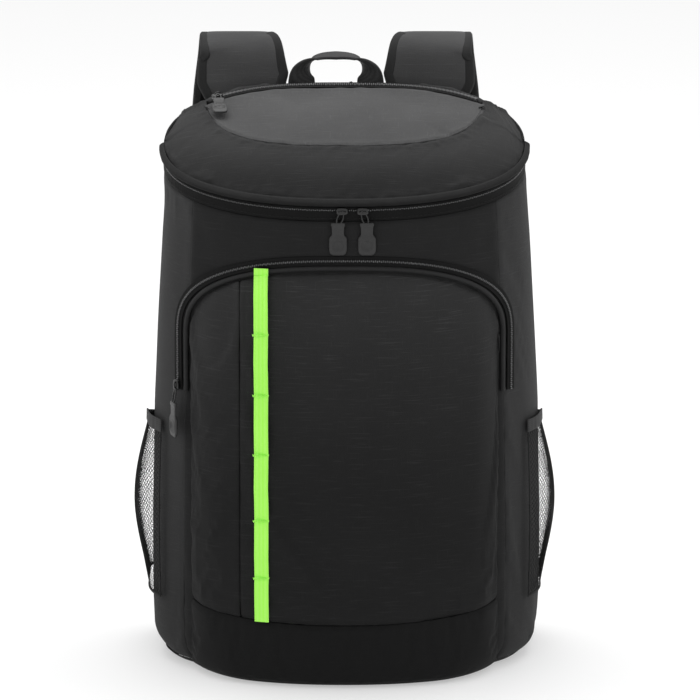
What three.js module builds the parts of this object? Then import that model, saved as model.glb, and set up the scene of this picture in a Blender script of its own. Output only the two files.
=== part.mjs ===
// A cooler backpack standing on the floor: millimetres, +Z up, front towards -Y, +X to the right.
import * as THREE from "three";

// Body sizes
const bodyWidth = 319;
const frontDepth = 76;
const backDepth = 92;
const frontRound = 88;
const frontPower = 2.3;
const backCornerRadius = 80;
const wallThickness = 6;
const bottomRoll = 27;
const baseThickness = 6;
const baseInset = 9;
const seamGap = 0.3;

// Main opening: height of its teeth at the front, and its slope towards the back
const zipHeight = 394.6;
const zipSlope = 0.295;
const zipBelow = 9;
const zipAbove = 3;
const zipThickness = 1.6;
const teethWidth = 4;
const teethHeight = 1.2;
const pipingHeight = 6.6;
const pipingDepth = 4;
const tapeRecess = 0.6;

// Lid
const lidWall = 5;
const lidSeamFront = 32;
const lidSeamLift = 45.4;
const lidSeamSlope = 0.2;
const lidPanelWidth = 228;
const lidZipDepth = 76;
const lidZipBend = 34;
const lidZipWidth = 9.3;
const lidBulge = 5.5;
const lidDome = 5;
const lidSeamReach = 110;
const lidSeamGap = 1.8;
const lidCentre = 40;
const lidZipShort = 3.5;
const lidBulgeReach = 55;
const lidPanelWall = 3;
const lidSliderPlace = 0.88;
const lidSliderTurn = 0.7;
const lidPullerTurn = 0.4;
const lidPullerLift = 1.2;

// Front pocket
const pocketDepth = 24;
const pocketWall = 2.5;
const pocketZipDrop = 41.1;
const pocketZipSide = 134;
const pocketCornerHeight = 70;
const pocketZipFall = 117.5;
const pocketZipWidth = 8;
const pocketShoulder = 55;
const pocketSideRound = 20;
const pocketSeamHeight = 53.5;
const pocketSeamRise = 9;
const pleatPlace = -85;
const pocketPipingWidth = 4;
const pocketBowShare = 0.3;
const archPower = 2.6;
const bootRound = 48;
const bootFill = 0.8;
const bootWall = 4;
const bootClearance = 0.9;

// Green webbing strip on the front pocket
const stripPlace = -67.6;
const stripWidth = 12.3;
const stripThickness = 1.4;
const stripLoose = 0.8;
const tackWidth = 14.8;
const tackThickness = 2.2;
const tackLength = 2.6;
const stripTacks = 5;
const stripTopInset = 3;
const stripClearance = 0.8;

// Net side pockets
const netWall = 1;
const netBottom = 57;
const netTop = 196;
const netBulge = 12.4;
const netMouth = 2.4;
const netLowFill = 1.1;
const netClearance = 0.8;
const netSeams = [0.47, 0.68];
const elasticHeight = 10.5;
const elasticThickness = 1.4;

// Harness
const harnessShift = -7;
const strapThickness = 11;
const strapEdge = 2.4;
const strapLift = 103.4;
const strapTopWidth = 62;
const strapStandoff = 46;
const lowerWidth = 25;
const lowerThickness = 1.8;
const lowerAnchorHeight = 46;
const buckleWidth = 36;
const buckleHeight = 30;
const buckleThickness = 4.5;
const handleSpan = 57;
const handleLift = 88;
const handleWidth = 22;
const handleThickness = 2.4;
const handleFootLift = 33.4;
const handleLean = 11.5;
const strapSpread = 81;
const buckleSlot = 4;
const buckleRim = 5.5;
const buckleCorner = 4;
const lowerAnchorSpread = 106;

// Sliders and pullers
const sliderLength = 9;
const sliderWidth = 6;
const sliderThickness = 3;
const pullerLength = 27;
const pullerWidth = 14.5;
const pullerThickness = 3;
const smallPullerLength = 29;
const linkWidth = 3.4;
const linkLength = 6;
const sliderMeet = 6.5;
const sliderSpacing = 16.6;
const pullerSpacing = 23.3;
const pocketPullerOut = 4;
const pocketPullerTurn = 1;

// Heights that keep their distance from the main opening, and the pocket's own edge
const lidSeamHeight = zipHeight + lidSeamLift;
const strapTop = zipHeight + strapLift;
const handleTop = zipHeight + handleLift;
const handleFoot = zipHeight + handleFootLift;
const pocketZipTop = zipHeight - pocketZipDrop;
const pocketZipEnd = pocketZipTop - pocketZipFall;
const pocketInset = pocketZipWidth / 2 + pocketPipingWidth + 2 * seamGap;
const pocketHalf = pocketZipSide - pocketInset;

// Half width of the body and radius of its back corners, up to and past the main opening
const bodyForm = [
  { rise: 0, width: 0.494, corner: 0.42 },
  { rise: 0.13, width: 0.5, corner: 0.42 },
  { rise: 0.3, width: 0.5, corner: 0.44 },
  { rise: 0.542, width: 0.4947, corner: 0.5 },
  { rise: 0.646, width: 0.487, corner: 0.58 },
  { rise: 0.75, width: 0.4805, corner: 0.68 },
  { rise: 0.905, width: 0.4715, corner: 0.87 },
  { rise: 1, width: 0.464, corner: 0.96 },
  { rise: 1.1, width: 0.461, corner: 1 },
  { rise: 1.2, width: 0.459, corner: 1 },
];

// Stretches of the body's outline seen from above, from the left rear round the front
const outline = [
  { stretch: "leftSide", share: 0.12 },
  { stretch: "front", share: 0.4 },
  { stretch: "rightSide", share: 0.12 },
  { stretch: "rightBackCorner", share: 0.07 },
  { stretch: "back", share: 0.22 },
  { stretch: "leftBackCorner", share: 0.07 },
];
const frontSeams = [0.2, 0.44];
const backSeams = [0.71, 0.93];
const openingShare = 0.64;
const seamTrim = 0.0004;

// Rows across a zip's tape: place from its lower edge, and how far the teeth stand out
const tapeRows = [
  { place: 0, teeth: 0 },
  { place: 0.3, teeth: 0 },
  { place: 0.37, teeth: 1 },
  { place: 0.63, teeth: 1 },
  { place: 0.7, teeth: 0 },
  { place: 1, teeth: 0 },
];
const mainTapeRows = [
  { place: 0, teeth: 0 },
  { place: 0.58, teeth: 0 },
  { place: 0.64, teeth: 1 },
  { place: 0.86, teeth: 1 },
  { place: 0.92, teeth: 0 },
  { place: 1, teeth: 0 },
];

// Centre line of the shoulder straps, from the seam at the back over the top and down
const strapRoute = [
  { height: 0.87, standoff: 0.08, spread: 0.88, width: 0.8, padding: 0.6 },
  { height: 0.94, standoff: 0.19, spread: 0.97, width: 1.18, padding: 0.85 },
  { height: 0.984, standoff: 0.31, spread: 0.98, width: 1.1, padding: 1 },
  { height: 0.997, standoff: 0.48, spread: 1, width: 1, padding: 1 },
  { height: 1, standoff: 0.68, spread: 1, width: 1, padding: 1 },
  { height: 0.99, standoff: 0.88, spread: 1.01, width: 1, padding: 1 },
  { height: 0.96, standoff: 1, spread: 1.02, width: 1.02, padding: 1 },
  { height: 0.9, standoff: 1.02, spread: 1.05, width: 1.06, padding: 1 },
  { height: 0.8, standoff: 1, spread: 1.09, width: 1.08, padding: 1 },
  { height: 0.68, standoff: 0.92, spread: 1.13, width: 1.02, padding: 1 },
  { height: 0.55, standoff: 0.8, spread: 1.16, width: 0.92, padding: 0.95 },
  { height: 0.43, standoff: 0.66, spread: 1.18, width: 0.82, padding: 0.8 },
];

// Half of the carry handle, from its foot to its crown
const handleRoute = [
  { across: 1, lean: 0, height: 0, twist: 0 },
  { across: 1, lean: 0.2, height: 0.55, twist: 0.08 },
  { across: 0.93, lean: 0.55, height: 0.8, twist: 0.5 },
  { across: 0.6, lean: 0.9, height: 0.96, twist: 0.92 },
  { across: 0, lean: 1, height: 1, twist: 1 },
];

// Right half of a puller's outline: half width as a share of its width, drop as a share of its length
const pullerForm = [
  { half: 0.35, drop: 0 },
  { half: 0.35, drop: 0.08 },
  { half: 0.27, drop: 0.12 },
  { half: 0.297, drop: 0.42 },
  { half: 0.5, drop: 0.52 },
  { half: 0.5, drop: 0.9 },
  { half: 0.35, drop: 1 },
];

// Places of the green webbing's stations between two tacks, as shares of the stretch
const looseStations = [0.25, 0.42, 0.59, 0.76, 0.9, 0.995];

// Builders of closed bodies

const vector = (x, y, z) => new THREE.Vector3(x, y, z);
const mix = THREE.MathUtils.lerp;
const clamp = THREE.MathUtils.clamp;

// The value of a table's column at a place along its key column
function lookUp(table, key, column, place) {
  const last = table.length - 2;
  const found = table.findIndex((row, index) => index <= last && place <= table[index + 1][key]);
  const from = found < 0 ? last : found;
  const [low, high] = [table[from], table[from + 1]];
  return mix(low[column], high[column], (place - low[key]) / (high[key] - low[key]));
}

// A closed body from points and triangles, with its faces turned outwards
function closedBody(points, triangles) {
  let volume = 0;
  for (const [a, b, c] of triangles) {
    volume += points[a].dot(points[b].clone().cross(points[c]));
  }
  const facing = volume < 0 ? triangles.map(([a, b, c]) => [a, c, b]) : triangles;
  const places = points.flatMap((point) => point.toArray());
  const geometry = new THREE.BufferGeometry();
  geometry.setAttribute("position", new THREE.Float32BufferAttribute(places, 3));
  geometry.setIndex(facing.flat());
  geometry.computeVertexNormals();
  return geometry;
}

// A panel between an outer and an inner surface, each a function of two shares, across and up
function panel(columns, rows, outer, inner, ring = false) {
  const across = ring ? columns : columns + 1;
  const points = [];
  for (const surface of [outer, inner]) {
    for (let row = 0; row <= rows; row += 1) {
      for (let column = 0; column < across; column += 1) {
        points.push(surface(column / columns, row / rows));
      }
    }
  }
  const at = (side, row, column) => (side * (rows + 1) + row) * across + (column % across);
  const triangles = [];
  const quad = (a, b, c, d) => triangles.push([a, b, c], [a, c, d]);
  for (let column = 0; column < columns; column += 1) {
    const next = column + 1;
    for (let row = 0; row < rows; row += 1) {
      quad(at(0, row, column), at(0, row, next), at(0, row + 1, next), at(0, row + 1, column));
      quad(at(1, row, column), at(1, row + 1, column), at(1, row + 1, next), at(1, row, next));
    }
    quad(at(0, 0, column), at(1, 0, column), at(1, 0, next), at(0, 0, next));
    quad(at(0, rows, column), at(0, rows, next), at(1, rows, next), at(1, rows, column));
  }
  for (let row = 0; row < rows && !ring; row += 1) {
    const end = columns;
    quad(at(0, row, 0), at(0, row + 1, 0), at(1, row + 1, 0), at(1, row, 0));
    quad(at(0, row, end), at(1, row, end), at(1, row + 1, end), at(0, row + 1, end));
  }
  return closedBody(points, triangles);
}

// A body through loops of equally many points, flat at both ends
function throughLoops(loops, endOutline) {
  const count = endOutline.length;
  const points = loops.flat();
  const triangles = [];
  for (let loop = 0; loop < loops.length - 1; loop += 1) {
    for (let corner = 0; corner < count; corner += 1) {
      const next = (corner + 1) % count;
      const [low, high] = [loop * count, (loop + 1) * count];
      triangles.push([low + corner, low + next, high + next]);
      triangles.push([low + corner, high + next, high + corner]);
    }
  }
  const flat = endOutline.map(([x, y]) => new THREE.Vector2(x, y));
  const end = (loops.length - 1) * count;
  for (const [a, b, c] of THREE.ShapeUtils.triangulateShape(flat, [])) {
    triangles.push([a, c, b], [end + a, end + b, end + c]);
  }
  return closedBody(points, triangles);
}

// A band along stations; its profile gives counter-clockwise [across, outwards] points
function band(stations, profileAt) {
  const last = stations.length - 1;
  const loops = stations.map((station, index) => {
    const before = stations[Math.max(index - 1, 0)];
    const after = stations[Math.min(index + 1, last)];
    const along = after.at.clone().sub(before.at).normalize();
    const across = along.clone().cross(station.out).normalize();
    const out = across.clone().cross(along);
    const place = ([side, height]) =>
      station.at.clone().addScaledVector(across, side).addScaledVector(out, height);
    return profileAt(index).map(place);
  });
  return throughLoops(loops, profileAt(0));
}

// A flat strip's profile, resting at height 0
const stripProfile = (width, thickness) => [
  [-width / 2, 0],
  [width / 2, 0],
  [width / 2, thickness],
  [-width / 2, thickness],
];

// A padded strap's profile, round on both faces and thin at its edges
function paddedProfile(width, thickness) {
  const half = width / 2;
  const shoulder = half - thickness * 0.8;
  return [
    [-half, -strapEdge / 2],
    [-shoulder, -thickness / 2],
    [shoulder, -thickness / 2],
    [half, -strapEdge / 2],
    [half, strapEdge / 2],
    [shoulder, thickness / 2],
    [-shoulder, thickness / 2],
    [-half, strapEdge / 2],
  ];
}

// An upright flat piece from an outline in the x-z plane, centred on y = 0
function cutFlat(outlinePoints, thickness, slots = []) {
  const shape = new THREE.Shape(outlinePoints.map(([x, z]) => new THREE.Vector2(x, z)));
  shape.holes = slots.map((slot) => new THREE.Path(slot.map(([x, z]) => new THREE.Vector2(x, z))));
  const geometry = new THREE.ExtrudeGeometry(shape, { depth: thickness, bevelEnabled: false });
  return geometry.translate(0, 0, -thickness / 2).rotateX(Math.PI / 2);
}

// The body's form

// How far the body's bottom edge is rolled in at a height
function rollAt(height) {
  const left = Math.max(bottomRoll - height, 0);
  return bottomRoll - Math.sqrt(bottomRoll ** 2 - left ** 2);
}

// The body's outline at a height, moved inwards by a wall's thickness; its front half is one round
function sectionAt(height, inward = 0) {
  const half = bodyWidth * lookUp(bodyForm, "rise", "width", height / zipHeight);
  const corner = backCornerRadius * lookUp(bodyForm, "rise", "corner", height / zipHeight);
  const inset = rollAt(height) + inward;
  return {
    roundX: half - inset,
    roundDepth: frontRound - inset,
    roundY: frontRound - frontDepth,
    backX: half - corner,
    backY: backDepth - corner,
    backRadius: corner - inset,
  };
}

// A point of the body's outline at a share of the way round
function outlinePoint(share, height, inward = 0) {
  const section = sectionAt(height, inward);
  let start = 0;
  let index = 0;
  while (index < outline.length - 1 && share > start + outline[index].share) {
    start += outline[index].share;
    index += 1;
  }
  const t = (share - start) / outline[index].share;
  const side = outline[index].stretch.startsWith("left") ? -1 : 1;
  if (outline[index].stretch.endsWith("Side")) {
    return vector(side * section.roundX, mix(section.backY, section.roundY, side < 0 ? t : 1 - t), height);
  }
  if (outline[index].stretch === "front") {
    const [across, ahead] = [-Math.cos(Math.PI * t), Math.max(Math.sin(Math.PI * t), 0)];
    const x = section.roundX * Math.sign(across) * Math.abs(across) ** (2 / frontPower);
    return vector(x, section.roundY - section.roundDepth * ahead ** (2 / frontPower), height);
  }
  if (outline[index].stretch === "back") {
    return vector(mix(section.backX, -section.backX, t), section.backY + section.backRadius, height);
  }
  const turn = (Math.PI / 2) * (side < 0 ? 1 - t : t);
  const x = section.backX + section.backRadius * Math.cos(turn);
  return vector(side * x, section.backY + section.backRadius * Math.sin(turn), height);
}

// Height of the main opening's teeth at a depth
const openingAt = (y) => zipHeight + zipSlope * (y + frontDepth);

// A point of the body's wall; its top edge follows the main opening
function wallPoint(share, up, inward) {
  const bottom = baseThickness + seamGap;
  const top = openingAt(outlinePoint(share, zipHeight, inward).y) - zipBelow;
  return outlinePoint(share, mix(bottom, top, up ** 1.5), inward);
}

// A wall between two seams of the outline
function bodyWall(columns, [from, to]) {
  const shareAt = (u) => mix(from + seamTrim, to - seamTrim, u);
  const outer = (u, v) => wallPoint(shareAt(u), v, 0);
  const inner = (u, v) => wallPoint(shareAt(u), v, wallThickness);
  return panel(columns, 8, outer, inner);
}

// Depth of the body's front surface at a place
function frontSurface(x, height) {
  const { roundX, roundDepth, roundY } = sectionAt(height);
  const share = Math.min(Math.abs(x) / roundX, 1);
  return roundY - roundDepth * (1 - share ** frontPower) ** (1 / frontPower);
}

// The outward direction of a surface whose depth is a function of x and height
function facing(surface, x, height) {
  const step = 0.5;
  const slopeX = (surface(x + step, height) - surface(x - step, height)) / (2 * step);
  const slopeZ = (surface(x, height + step) - surface(x, height - step)) / (2 * step);
  return vector(slopeX, -1, slopeZ).normalize();
}

// The front pocket's form

// Height of the pocket zip's arch at a place, and of the seam under the pocket
function archHeight(x, inset) {
  const share = clamp(Math.abs(x) / (pocketZipSide - inset), 0, 1);
  const corner = pocketCornerHeight - inset;
  const rise = (1 - share ** archPower) ** (1 / archPower);
  return pocketZipTop - pocketCornerHeight + corner * rise;
}
const pocketSeam = (x) => pocketSeamHeight + pocketSeamRise * (Math.abs(x) / pocketHalf) ** 2.5;

// Round shoulder: 0 at an edge, 1 from a share of 1 on
const shoulder = (share) => Math.sqrt(1 - (1 - clamp(share, 0, 1)) ** 2);

// How full the pocket is at a place across, from 0 at its sides
function fullness(x, cloth, round) {
  const side = shoulder((pocketHalf - cloth - Math.abs(x)) / round);
  return side * (1 - pocketBowShare * (x / pocketHalf) ** 2);
}

// Depth of the pocket's surface; the inner surface has every edge drawn in by the cloth
function pocketSurface(x, height, cloth = 0) {
  const side = fullness(x, cloth, pocketSideRound);
  const top = shoulder((archHeight(x, pocketInset + cloth) - height) / pocketShoulder);
  return frontSurface(x, height) - seamGap - (pocketDepth - cloth) * side * top;
}

// A cloth panel of the pocket between two places across
function pocketCloth(columns, from, to, open) {
  const [start, end] = [Math.asin(from / pocketHalf), Math.asin(to / pocketHalf)];
  const surface = (cloth) => (u, v) => {
    const whole = pocketHalf * Math.sin(mix(start, end, u));
    const [low, high] = [from + (open[0] ? cloth : 0), to - (open[1] ? cloth : 0)];
    const x = mix(low, high, (whole - from) / (to - from));
    const height = mix(pocketSeam(x), archHeight(x, pocketInset + cloth), 1 - (1 - v) ** 1.6);
    return vector(x, pocketSurface(x, height, cloth), height);
  };
  return panel(columns, 11, surface(0), surface(pocketWall));
}

// Opening tape, rolled edge and hinge

// A strip round the body between two heights from the opening's teeth
function openingStrip(columns, rows, shares, low, high, rowAt) {
  const surface = (side) => (u, v) => {
    const share = mix(shares[0] + seamTrim, shares[1] - seamTrim, u);
    const row = rowAt(v);
    const inward = side === "outer" ? row.outer : row.inner;
    const y = outlinePoint(share, zipHeight, inward).y;
    return outlinePoint(share, openingAt(y) + mix(low, high, row.place), inward);
  };
  return panel(columns, rows, surface("outer"), surface("inner"));
}

const aroundFront = [0, openingShare];
const aroundBack = [openingShare, 1];

function mainZip() {
  const rowAt = (v) => {
    const row = mainTapeRows[Math.round(v * (mainTapeRows.length - 1))];
    const outer = tapeRecess - teethHeight * row.teeth;
    return { place: row.place, outer, inner: tapeRecess + zipThickness };
  };
  return openingStrip(36, mainTapeRows.length - 1, aroundFront, -zipBelow + seamGap, zipAbove, rowAt);
}

function lidPiping() {
  const rowAt = (v) => {
    const out = pipingDepth * Math.sin(Math.PI * v);
    return { place: v, outer: tapeRecess - out, inner: tapeRecess + zipThickness };
  };
  const low = zipAbove + seamGap;
  return openingStrip(36, 3, aroundFront, low, low + pipingHeight, rowAt);
}

function lidHinge() {
  const rowAt = (v) => ({ place: v, outer: tapeRecess, inner: tapeRecess + zipThickness });
  const high = zipAbove + seamGap + pipingHeight;
  return openingStrip(18, 1, aroundBack, -zipBelow + seamGap, high, rowAt);
}

// Lid

const lidHalf = lidPanelWidth / 2;
const lidEnd = lidHalf * 0.98;
const lidHeightAt = (y) => lidSeamHeight + lidSeamSlope * (y + lidSeamFront);

// Front edge of the top panel, and the front edge of the zip behind it
function lidFrontEdge(x) {
  const share = Math.min(Math.abs(x) / lidHalf, 1);
  return lidSeamReach * (1 - (1 - share ** 3) ** (1 / 3)) - lidSeamFront;
}
const lidBackEdge = (x) => lidZipDepth - lidZipBend * (Math.abs(x) / lidHalf) ** 3.2;

// A point of the crown's inner edge in the direction of an outline point
function crownEdge(towards) {
  const centre = vector(0, lidCentre, 0);
  const ray = vector(towards.x, towards.y - lidCentre, 0).normalize();
  let [near, far] = [0, bodyWidth];
  for (let turn = 0; turn < 30; turn += 1) {
    const middle = (near + far) / 2;
    const { x, y } = centre.clone().addScaledVector(ray, middle);
    const before = y > lidFrontEdge(x) - lidSeamGap;
    const behind = y < lidBackEdge(x) + lidZipWidth + lidSeamGap;
    if (Math.abs(x) < lidEnd + lidSeamGap && before && behind) {
      near = middle;
    } else {
      far = middle;
    }
  }
  const edge = centre.addScaledVector(ray, near);
  return edge.setZ(lidHeightAt(edge.y));
}

function lidCrown() {
  const lift = zipAbove + pipingHeight + 2 * seamGap;
  const surface = (inward) => (u, v) => {
    const flat = outlinePoint(u, zipHeight, inward);
    const low = outlinePoint(u, openingAt(flat.y) + lift, inward);
    const high = crownEdge(outlinePoint(u, zipHeight));
    high.z -= inward;
    const outwards = vector(low.x - high.x, low.y - high.y, 0).normalize();
    const away = outwards.multiplyScalar(0.6).add(vector(0, 0, 0.8));
    const bulge = lidBulge * Math.min(low.distanceTo(high) / lidBulgeReach, 1);
    return low.lerp(high, v).addScaledVector(away, bulge * Math.sin(Math.PI * v));
  };
  return panel(72, 4, surface(0), surface(lidWall), true);
}

function lidPocketPanel() {
  const surface = (depth) => (u, v) => {
    const x = lidEnd * Math.sin((Math.PI / 2) * (2 * u - 1));
    const y = mix(lidFrontEdge(x), lidBackEdge(x), v);
    const dome = lidDome * (1 - (x / lidEnd) ** 2) * Math.sin(Math.PI * v);
    return vector(x, y, lidHeightAt(y) + dome - depth);
  };
  return panel(16, 5, surface(0), surface(lidPanelWall));
}

function lidPocketZip() {
  const surface = (outer) => (u, v) => {
    const row = tapeRows[Math.round(v * (tapeRows.length - 1))];
    const x = (lidEnd - lidZipShort) * Math.sin((Math.PI / 2) * (2 * u - 1));
    const y = lidBackEdge(x) + mix(seamGap, lidZipWidth, row.place);
    const height = outer ? teethHeight * row.teeth : -zipThickness;
    return vector(x, y, lidHeightAt(y) + height);
  };
  return panel(18, tapeRows.length - 1, surface(true), surface(false));
}

// Front pocket

// Stations along the pocket's arch, set in from the zip's line
function archStations(inset, endHeight) {
  const half = pocketZipSide - inset;
  const base = pocketZipTop - pocketCornerHeight;
  const corner = pocketCornerHeight - inset;
  const places = [];
  for (let step = 0; step < 4; step += 1) {
    places.push([-half, mix(endHeight, base, step / 4)]);
  }
  for (let step = 0; step <= 24; step += 1) {
    const turn = (Math.PI * step) / 24;
    const [across, up] = [Math.cos(turn), Math.sin(turn)];
    const x = -half * Math.sign(across) * Math.abs(across) ** (2 / archPower);
    places.push([x, base + corner * up ** (2 / archPower)]);
  }
  for (let step = 3; step >= 0; step -= 1) {
    places.push([half, mix(endHeight, base, step / 4)]);
  }
  return places.map(([x, height]) => {
    const out = facing(frontSurface, x, height);
    return { at: vector(x, frontSurface(x, height), height).addScaledVector(out, seamGap), out };
  });
}

function pocketZip() {
  const half = pocketZipWidth / 2;
  const [foot, top] = [teethWidth / 2, teethWidth / 3];
  const teeth = zipThickness + teethHeight;
  const profile = [
    [-half, 0], [half, 0], [half, zipThickness], [foot, zipThickness],
    [top, teeth], [-top, teeth], [-foot, zipThickness], [-half, zipThickness],
  ];
  return band(archStations(0, pocketZipEnd), () => profile);
}

function pocketPiping() {
  const half = pocketPipingWidth / 2;
  const profile = [
    [-half, 0], [half, 0], [half, half], [half / 2, 1.7 * half], [-half / 2, 1.7 * half], [-half, half],
  ];
  const inset = pocketZipWidth / 2 + seamGap + half;
  return band(archStations(inset, pocketZipEnd), () => profile);
}

function bootPanel() {
  const bottom = baseThickness + seamGap;
  const surface = (cloth) => (u, v) => {
    const x = (pocketHalf - cloth) * Math.sin((Math.PI / 2) * (2 * u - 1));
    const height = mix(bottom, pocketSeam(x) - seamGap, v ** 1.4);
    const round = mix(bootRound, pocketSideRound, height / pocketSeam(x));
    const depth = (pocketDepth - cloth + bootFill * rollAt(height)) * fullness(x, cloth, round);
    return vector(x, frontSurface(x, height) - bootClearance - depth, height);
  };
  return panel(22, 6, surface(0), surface(bootWall));
}

// The pack's flat base, under the walls and the boot
function basePanel() {
  const count = 60;
  const loopAt = (inward, height) =>
    Array.from({ length: count }, (_, index) => {
      const point = outlinePoint(index / count, baseThickness, inward);
      const onFront = point.y < 0 && Math.abs(point.x) < pocketHalf;
      const forward = pocketDepth + bootFill * rollAt(baseThickness);
      const depth = onFront ? forward * fullness(point.x, 0, bootRound) : 0;
      return vector(point.x, point.y - depth, height);
    });
  const bottom = loopAt(baseInset, 0);
  const top = loopAt(0, baseThickness);
  return throughLoops([bottom, top], bottom.map((point) => [point.x, point.y]));
}

// The green webbing, loose between its bar tacks
function accentStrip() {
  const low = pocketSeam(stripPlace);
  const high = archHeight(stripPlace, pocketInset) - stripTopInset;
  const tackShare = tackLength / (high - low);
  const bayShare = 1 / (stripTacks + 1);
  const rows = [];
  for (let bay = 0; bay <= stripTacks; bay += 1) {
    const start = bay * bayShare;
    rows.push({ share: start, tack: bay > 0 });
    rows.push({ share: start + tackShare, tack: bay > 0 });
    rows.push({ share: start + tackShare * 1.2, tack: false });
    for (const part of looseStations) {
      rows.push({ share: start + bayShare * part, tack: false });
    }
  }
  rows.push({ share: 1, tack: false });
  const stations = rows.map(({ share, tack }) => {
    const height = mix(low, high, share);
    const out = facing(pocketSurface, stripPlace, height);
    const bay = (share * (stripTacks + 1)) % 1;
    const loose = tack ? 0 : stripLoose * Math.sin(Math.PI * bay);
    const at = vector(stripPlace, pocketSurface(stripPlace, height), height);
    return { at: at.addScaledVector(out, stripClearance + loose), out };
  });
  return band(stations, (index) =>
    rows[index].tack ? stripProfile(tackWidth, tackThickness) : stripProfile(stripWidth, stripThickness),
  );
}

// Side pockets

// A point of a net pocket, standing off the side wall; u runs from the front seam to the back
function netPoint(side, u, height, standoff) {
  const share = mix(netSeams[0], netSeams[1], u);
  const point = outlinePoint(share, height, -standoff);
  return point.setX(side * point.x);
}

function sidePocket(side) {
  const surface = (cloth) => (u, v) => {
    const across = Math.sin(Math.PI * u) ** 0.6;
    const bulge = mix(netMouth * v, netBulge, Math.sin(Math.PI * v ** netLowFill)) * across;
    return netPoint(side, u, mix(netBottom, netTop, v), netClearance + cloth + bulge);
  };
  return panel(12, 7, surface(netWall), surface(0));
}

function sideBand(side) {
  const surface = (cloth) => (u, v) => {
    const across = Math.sin(Math.PI * u) ** 0.6;
    const height = netTop + seamGap + elasticHeight * v;
    return netPoint(side, u, height, netClearance + cloth + netMouth * across);
  };
  return panel(12, 1, surface(elasticThickness), surface(0));
}

// Harness

const strapCurve = (side) =>
  new THREE.CatmullRomCurve3(
    strapRoute.map((row) =>
      vector(
        side * strapSpread * row.spread + harnessShift,
        backDepth + strapStandoff * row.standoff,
        (strapTop - strapThickness / 2) * row.height,
      ),
    ),
  );

// A column of a route's table at a share of the way through its rows
function alongRoute(route, column, share) {
  const place = share * (route.length - 1);
  const row = Math.min(Math.floor(place), route.length - 2);
  return mix(route[row][column], route[row + 1][column], place - row);
}

function shoulderStrap(side) {
  const curve = strapCurve(side);
  const steps = 26;
  const stations = Array.from({ length: steps + 1 }, (_, step) => {
    const along = curve.getTangent(step / steps);
    return { at: curve.getPoint(step / steps), out: vector(0, -along.z, along.y) };
  });
  return band(stations, (step) => {
    const width = strapTopWidth * alongRoute(strapRoute, "width", step / steps);
    const thickness = strapThickness * alongRoute(strapRoute, "padding", step / steps);
    return paddedProfile(width, thickness);
  });
}

// Where the strap's end points, and a place beyond it
function beyondStrap(side, distance) {
  const curve = strapCurve(side);
  return curve.getPoint(1).addScaledVector(curve.getTangent(1), distance);
}

function buckle() {
  const [half, high] = [buckleWidth / 2, buckleHeight / 2];
  const slotAt = (low, slotHalf) => [
    [-slotHalf, low], [slotHalf, low], [slotHalf, low + buckleSlot], [-slotHalf, low + buckleSlot],
  ];
  const lowerSlot = slotAt(-high + buckleRim, lowerWidth / 2 + 1);
  const upperSlot = slotAt(high - buckleRim - buckleSlot, lowerWidth / 2 - 1);
  const [side, end] = [half - buckleCorner, high - buckleCorner];
  const outside = [
    [-half, -end], [-side, -high], [side, -high], [half, -end],
    [half, end], [side, high], [-side, high], [-half, end],
  ];
  return cutFlat(outside, buckleThickness, [lowerSlot, upperSlot]);
}

function lowerStrap(side) {
  const start = beyondStrap(side, buckleHeight + 2 * seamGap);
  const wall = backDepth + seamGap;
  const anchorX = side * lowerAnchorSpread;
  const curve = new THREE.CatmullRomCurve3([
    start,
    beyondStrap(side, buckleHeight + 2 * seamGap + lowerWidth / 2),
    vector(mix(start.x, anchorX, 0.4), mix(start.y, wall, 0.45), mix(start.z, lowerAnchorHeight, 0.4)),
    vector(mix(start.x, anchorX, 0.8), mix(start.y, wall, 0.9), mix(start.z, lowerAnchorHeight, 0.75)),
    vector(anchorX, wall, lowerAnchorHeight),
  ]);
  const stations = curve.getPoints(16).map((at) => ({ at, out: vector(0, 1, 0) }));
  const profile = stripProfile(lowerWidth, lowerThickness);
  return band(stations, () => profile);
}

// The carry handle turns from flat on the back at its feet to edge-on at its crown
function carryHandle() {
  const leftHalf = handleRoute.map((row) => ({ ...row, side: -1 }));
  const rightHalf = leftHalf.slice(0, -1).reverse().map((row) => ({ ...row, side: 1 }));
  const rows = [...leftHalf, ...rightHalf];
  const wall = backDepth + seamGap + handleThickness / 2;
  const curve = new THREE.CatmullRomCurve3(
    rows.map((row) =>
      vector(
        row.side * (handleSpan / 2) * row.across + harnessShift,
        wall + handleLean * row.lean,
        mix(handleFoot, handleTop - handleThickness / 2, row.height),
      ),
    ),
  );
  const steps = 28;
  const stations = Array.from({ length: steps + 1 }, (_, step) => {
    const along = curve.getTangent(step / steps);
    const twist = alongRoute(rows, "twist", step / steps);
    const edgeOn = vector(-along.z, 0, along.x).multiplyScalar(twist);
    return { at: curve.getPoint(step / steps), out: edgeOn.add(vector(0, 1 - twist, 0)) };
  });
  const profile = stripProfile(handleWidth, handleThickness).map(([a, h]) => [a, h - handleThickness / 2]);
  return band(stations, () => profile);
}

// Sliders and pullers

function slider() {
  const half = sliderLength / 2;
  const step = sliderThickness * 0.45;
  const side = [
    [-half, 0], [half, 0], [half, step], [half * 0.6, sliderThickness],
    [-half * 0.6, sliderThickness], [-half, step],
  ];
  return cutFlat(side, sliderWidth);
}

// A moulded puller hanging down from its link
function puller(length, width) {
  const link = linkWidth / 2;
  const grip = pullerForm.map((row) => [width * row.half, -length * row.drop]);
  const right = [[link, linkLength], [link, 0], ...grip];
  const left = right.map(([x, z]) => [-x, z]).reverse();
  return cutFlat([...left, ...right], pullerThickness);
}

// Seats a piece with its own +X along one direction and its +Z outwards
function seat(piece, at, along, out) {
  const x = along.clone().normalize();
  const y = out.clone().cross(x).normalize();
  const basis = new THREE.Matrix4().makeBasis(x, y, x.clone().cross(y));
  piece.position.copy(at);
  piece.quaternion.setFromRotationMatrix(basis);
}

// Materials

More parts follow.
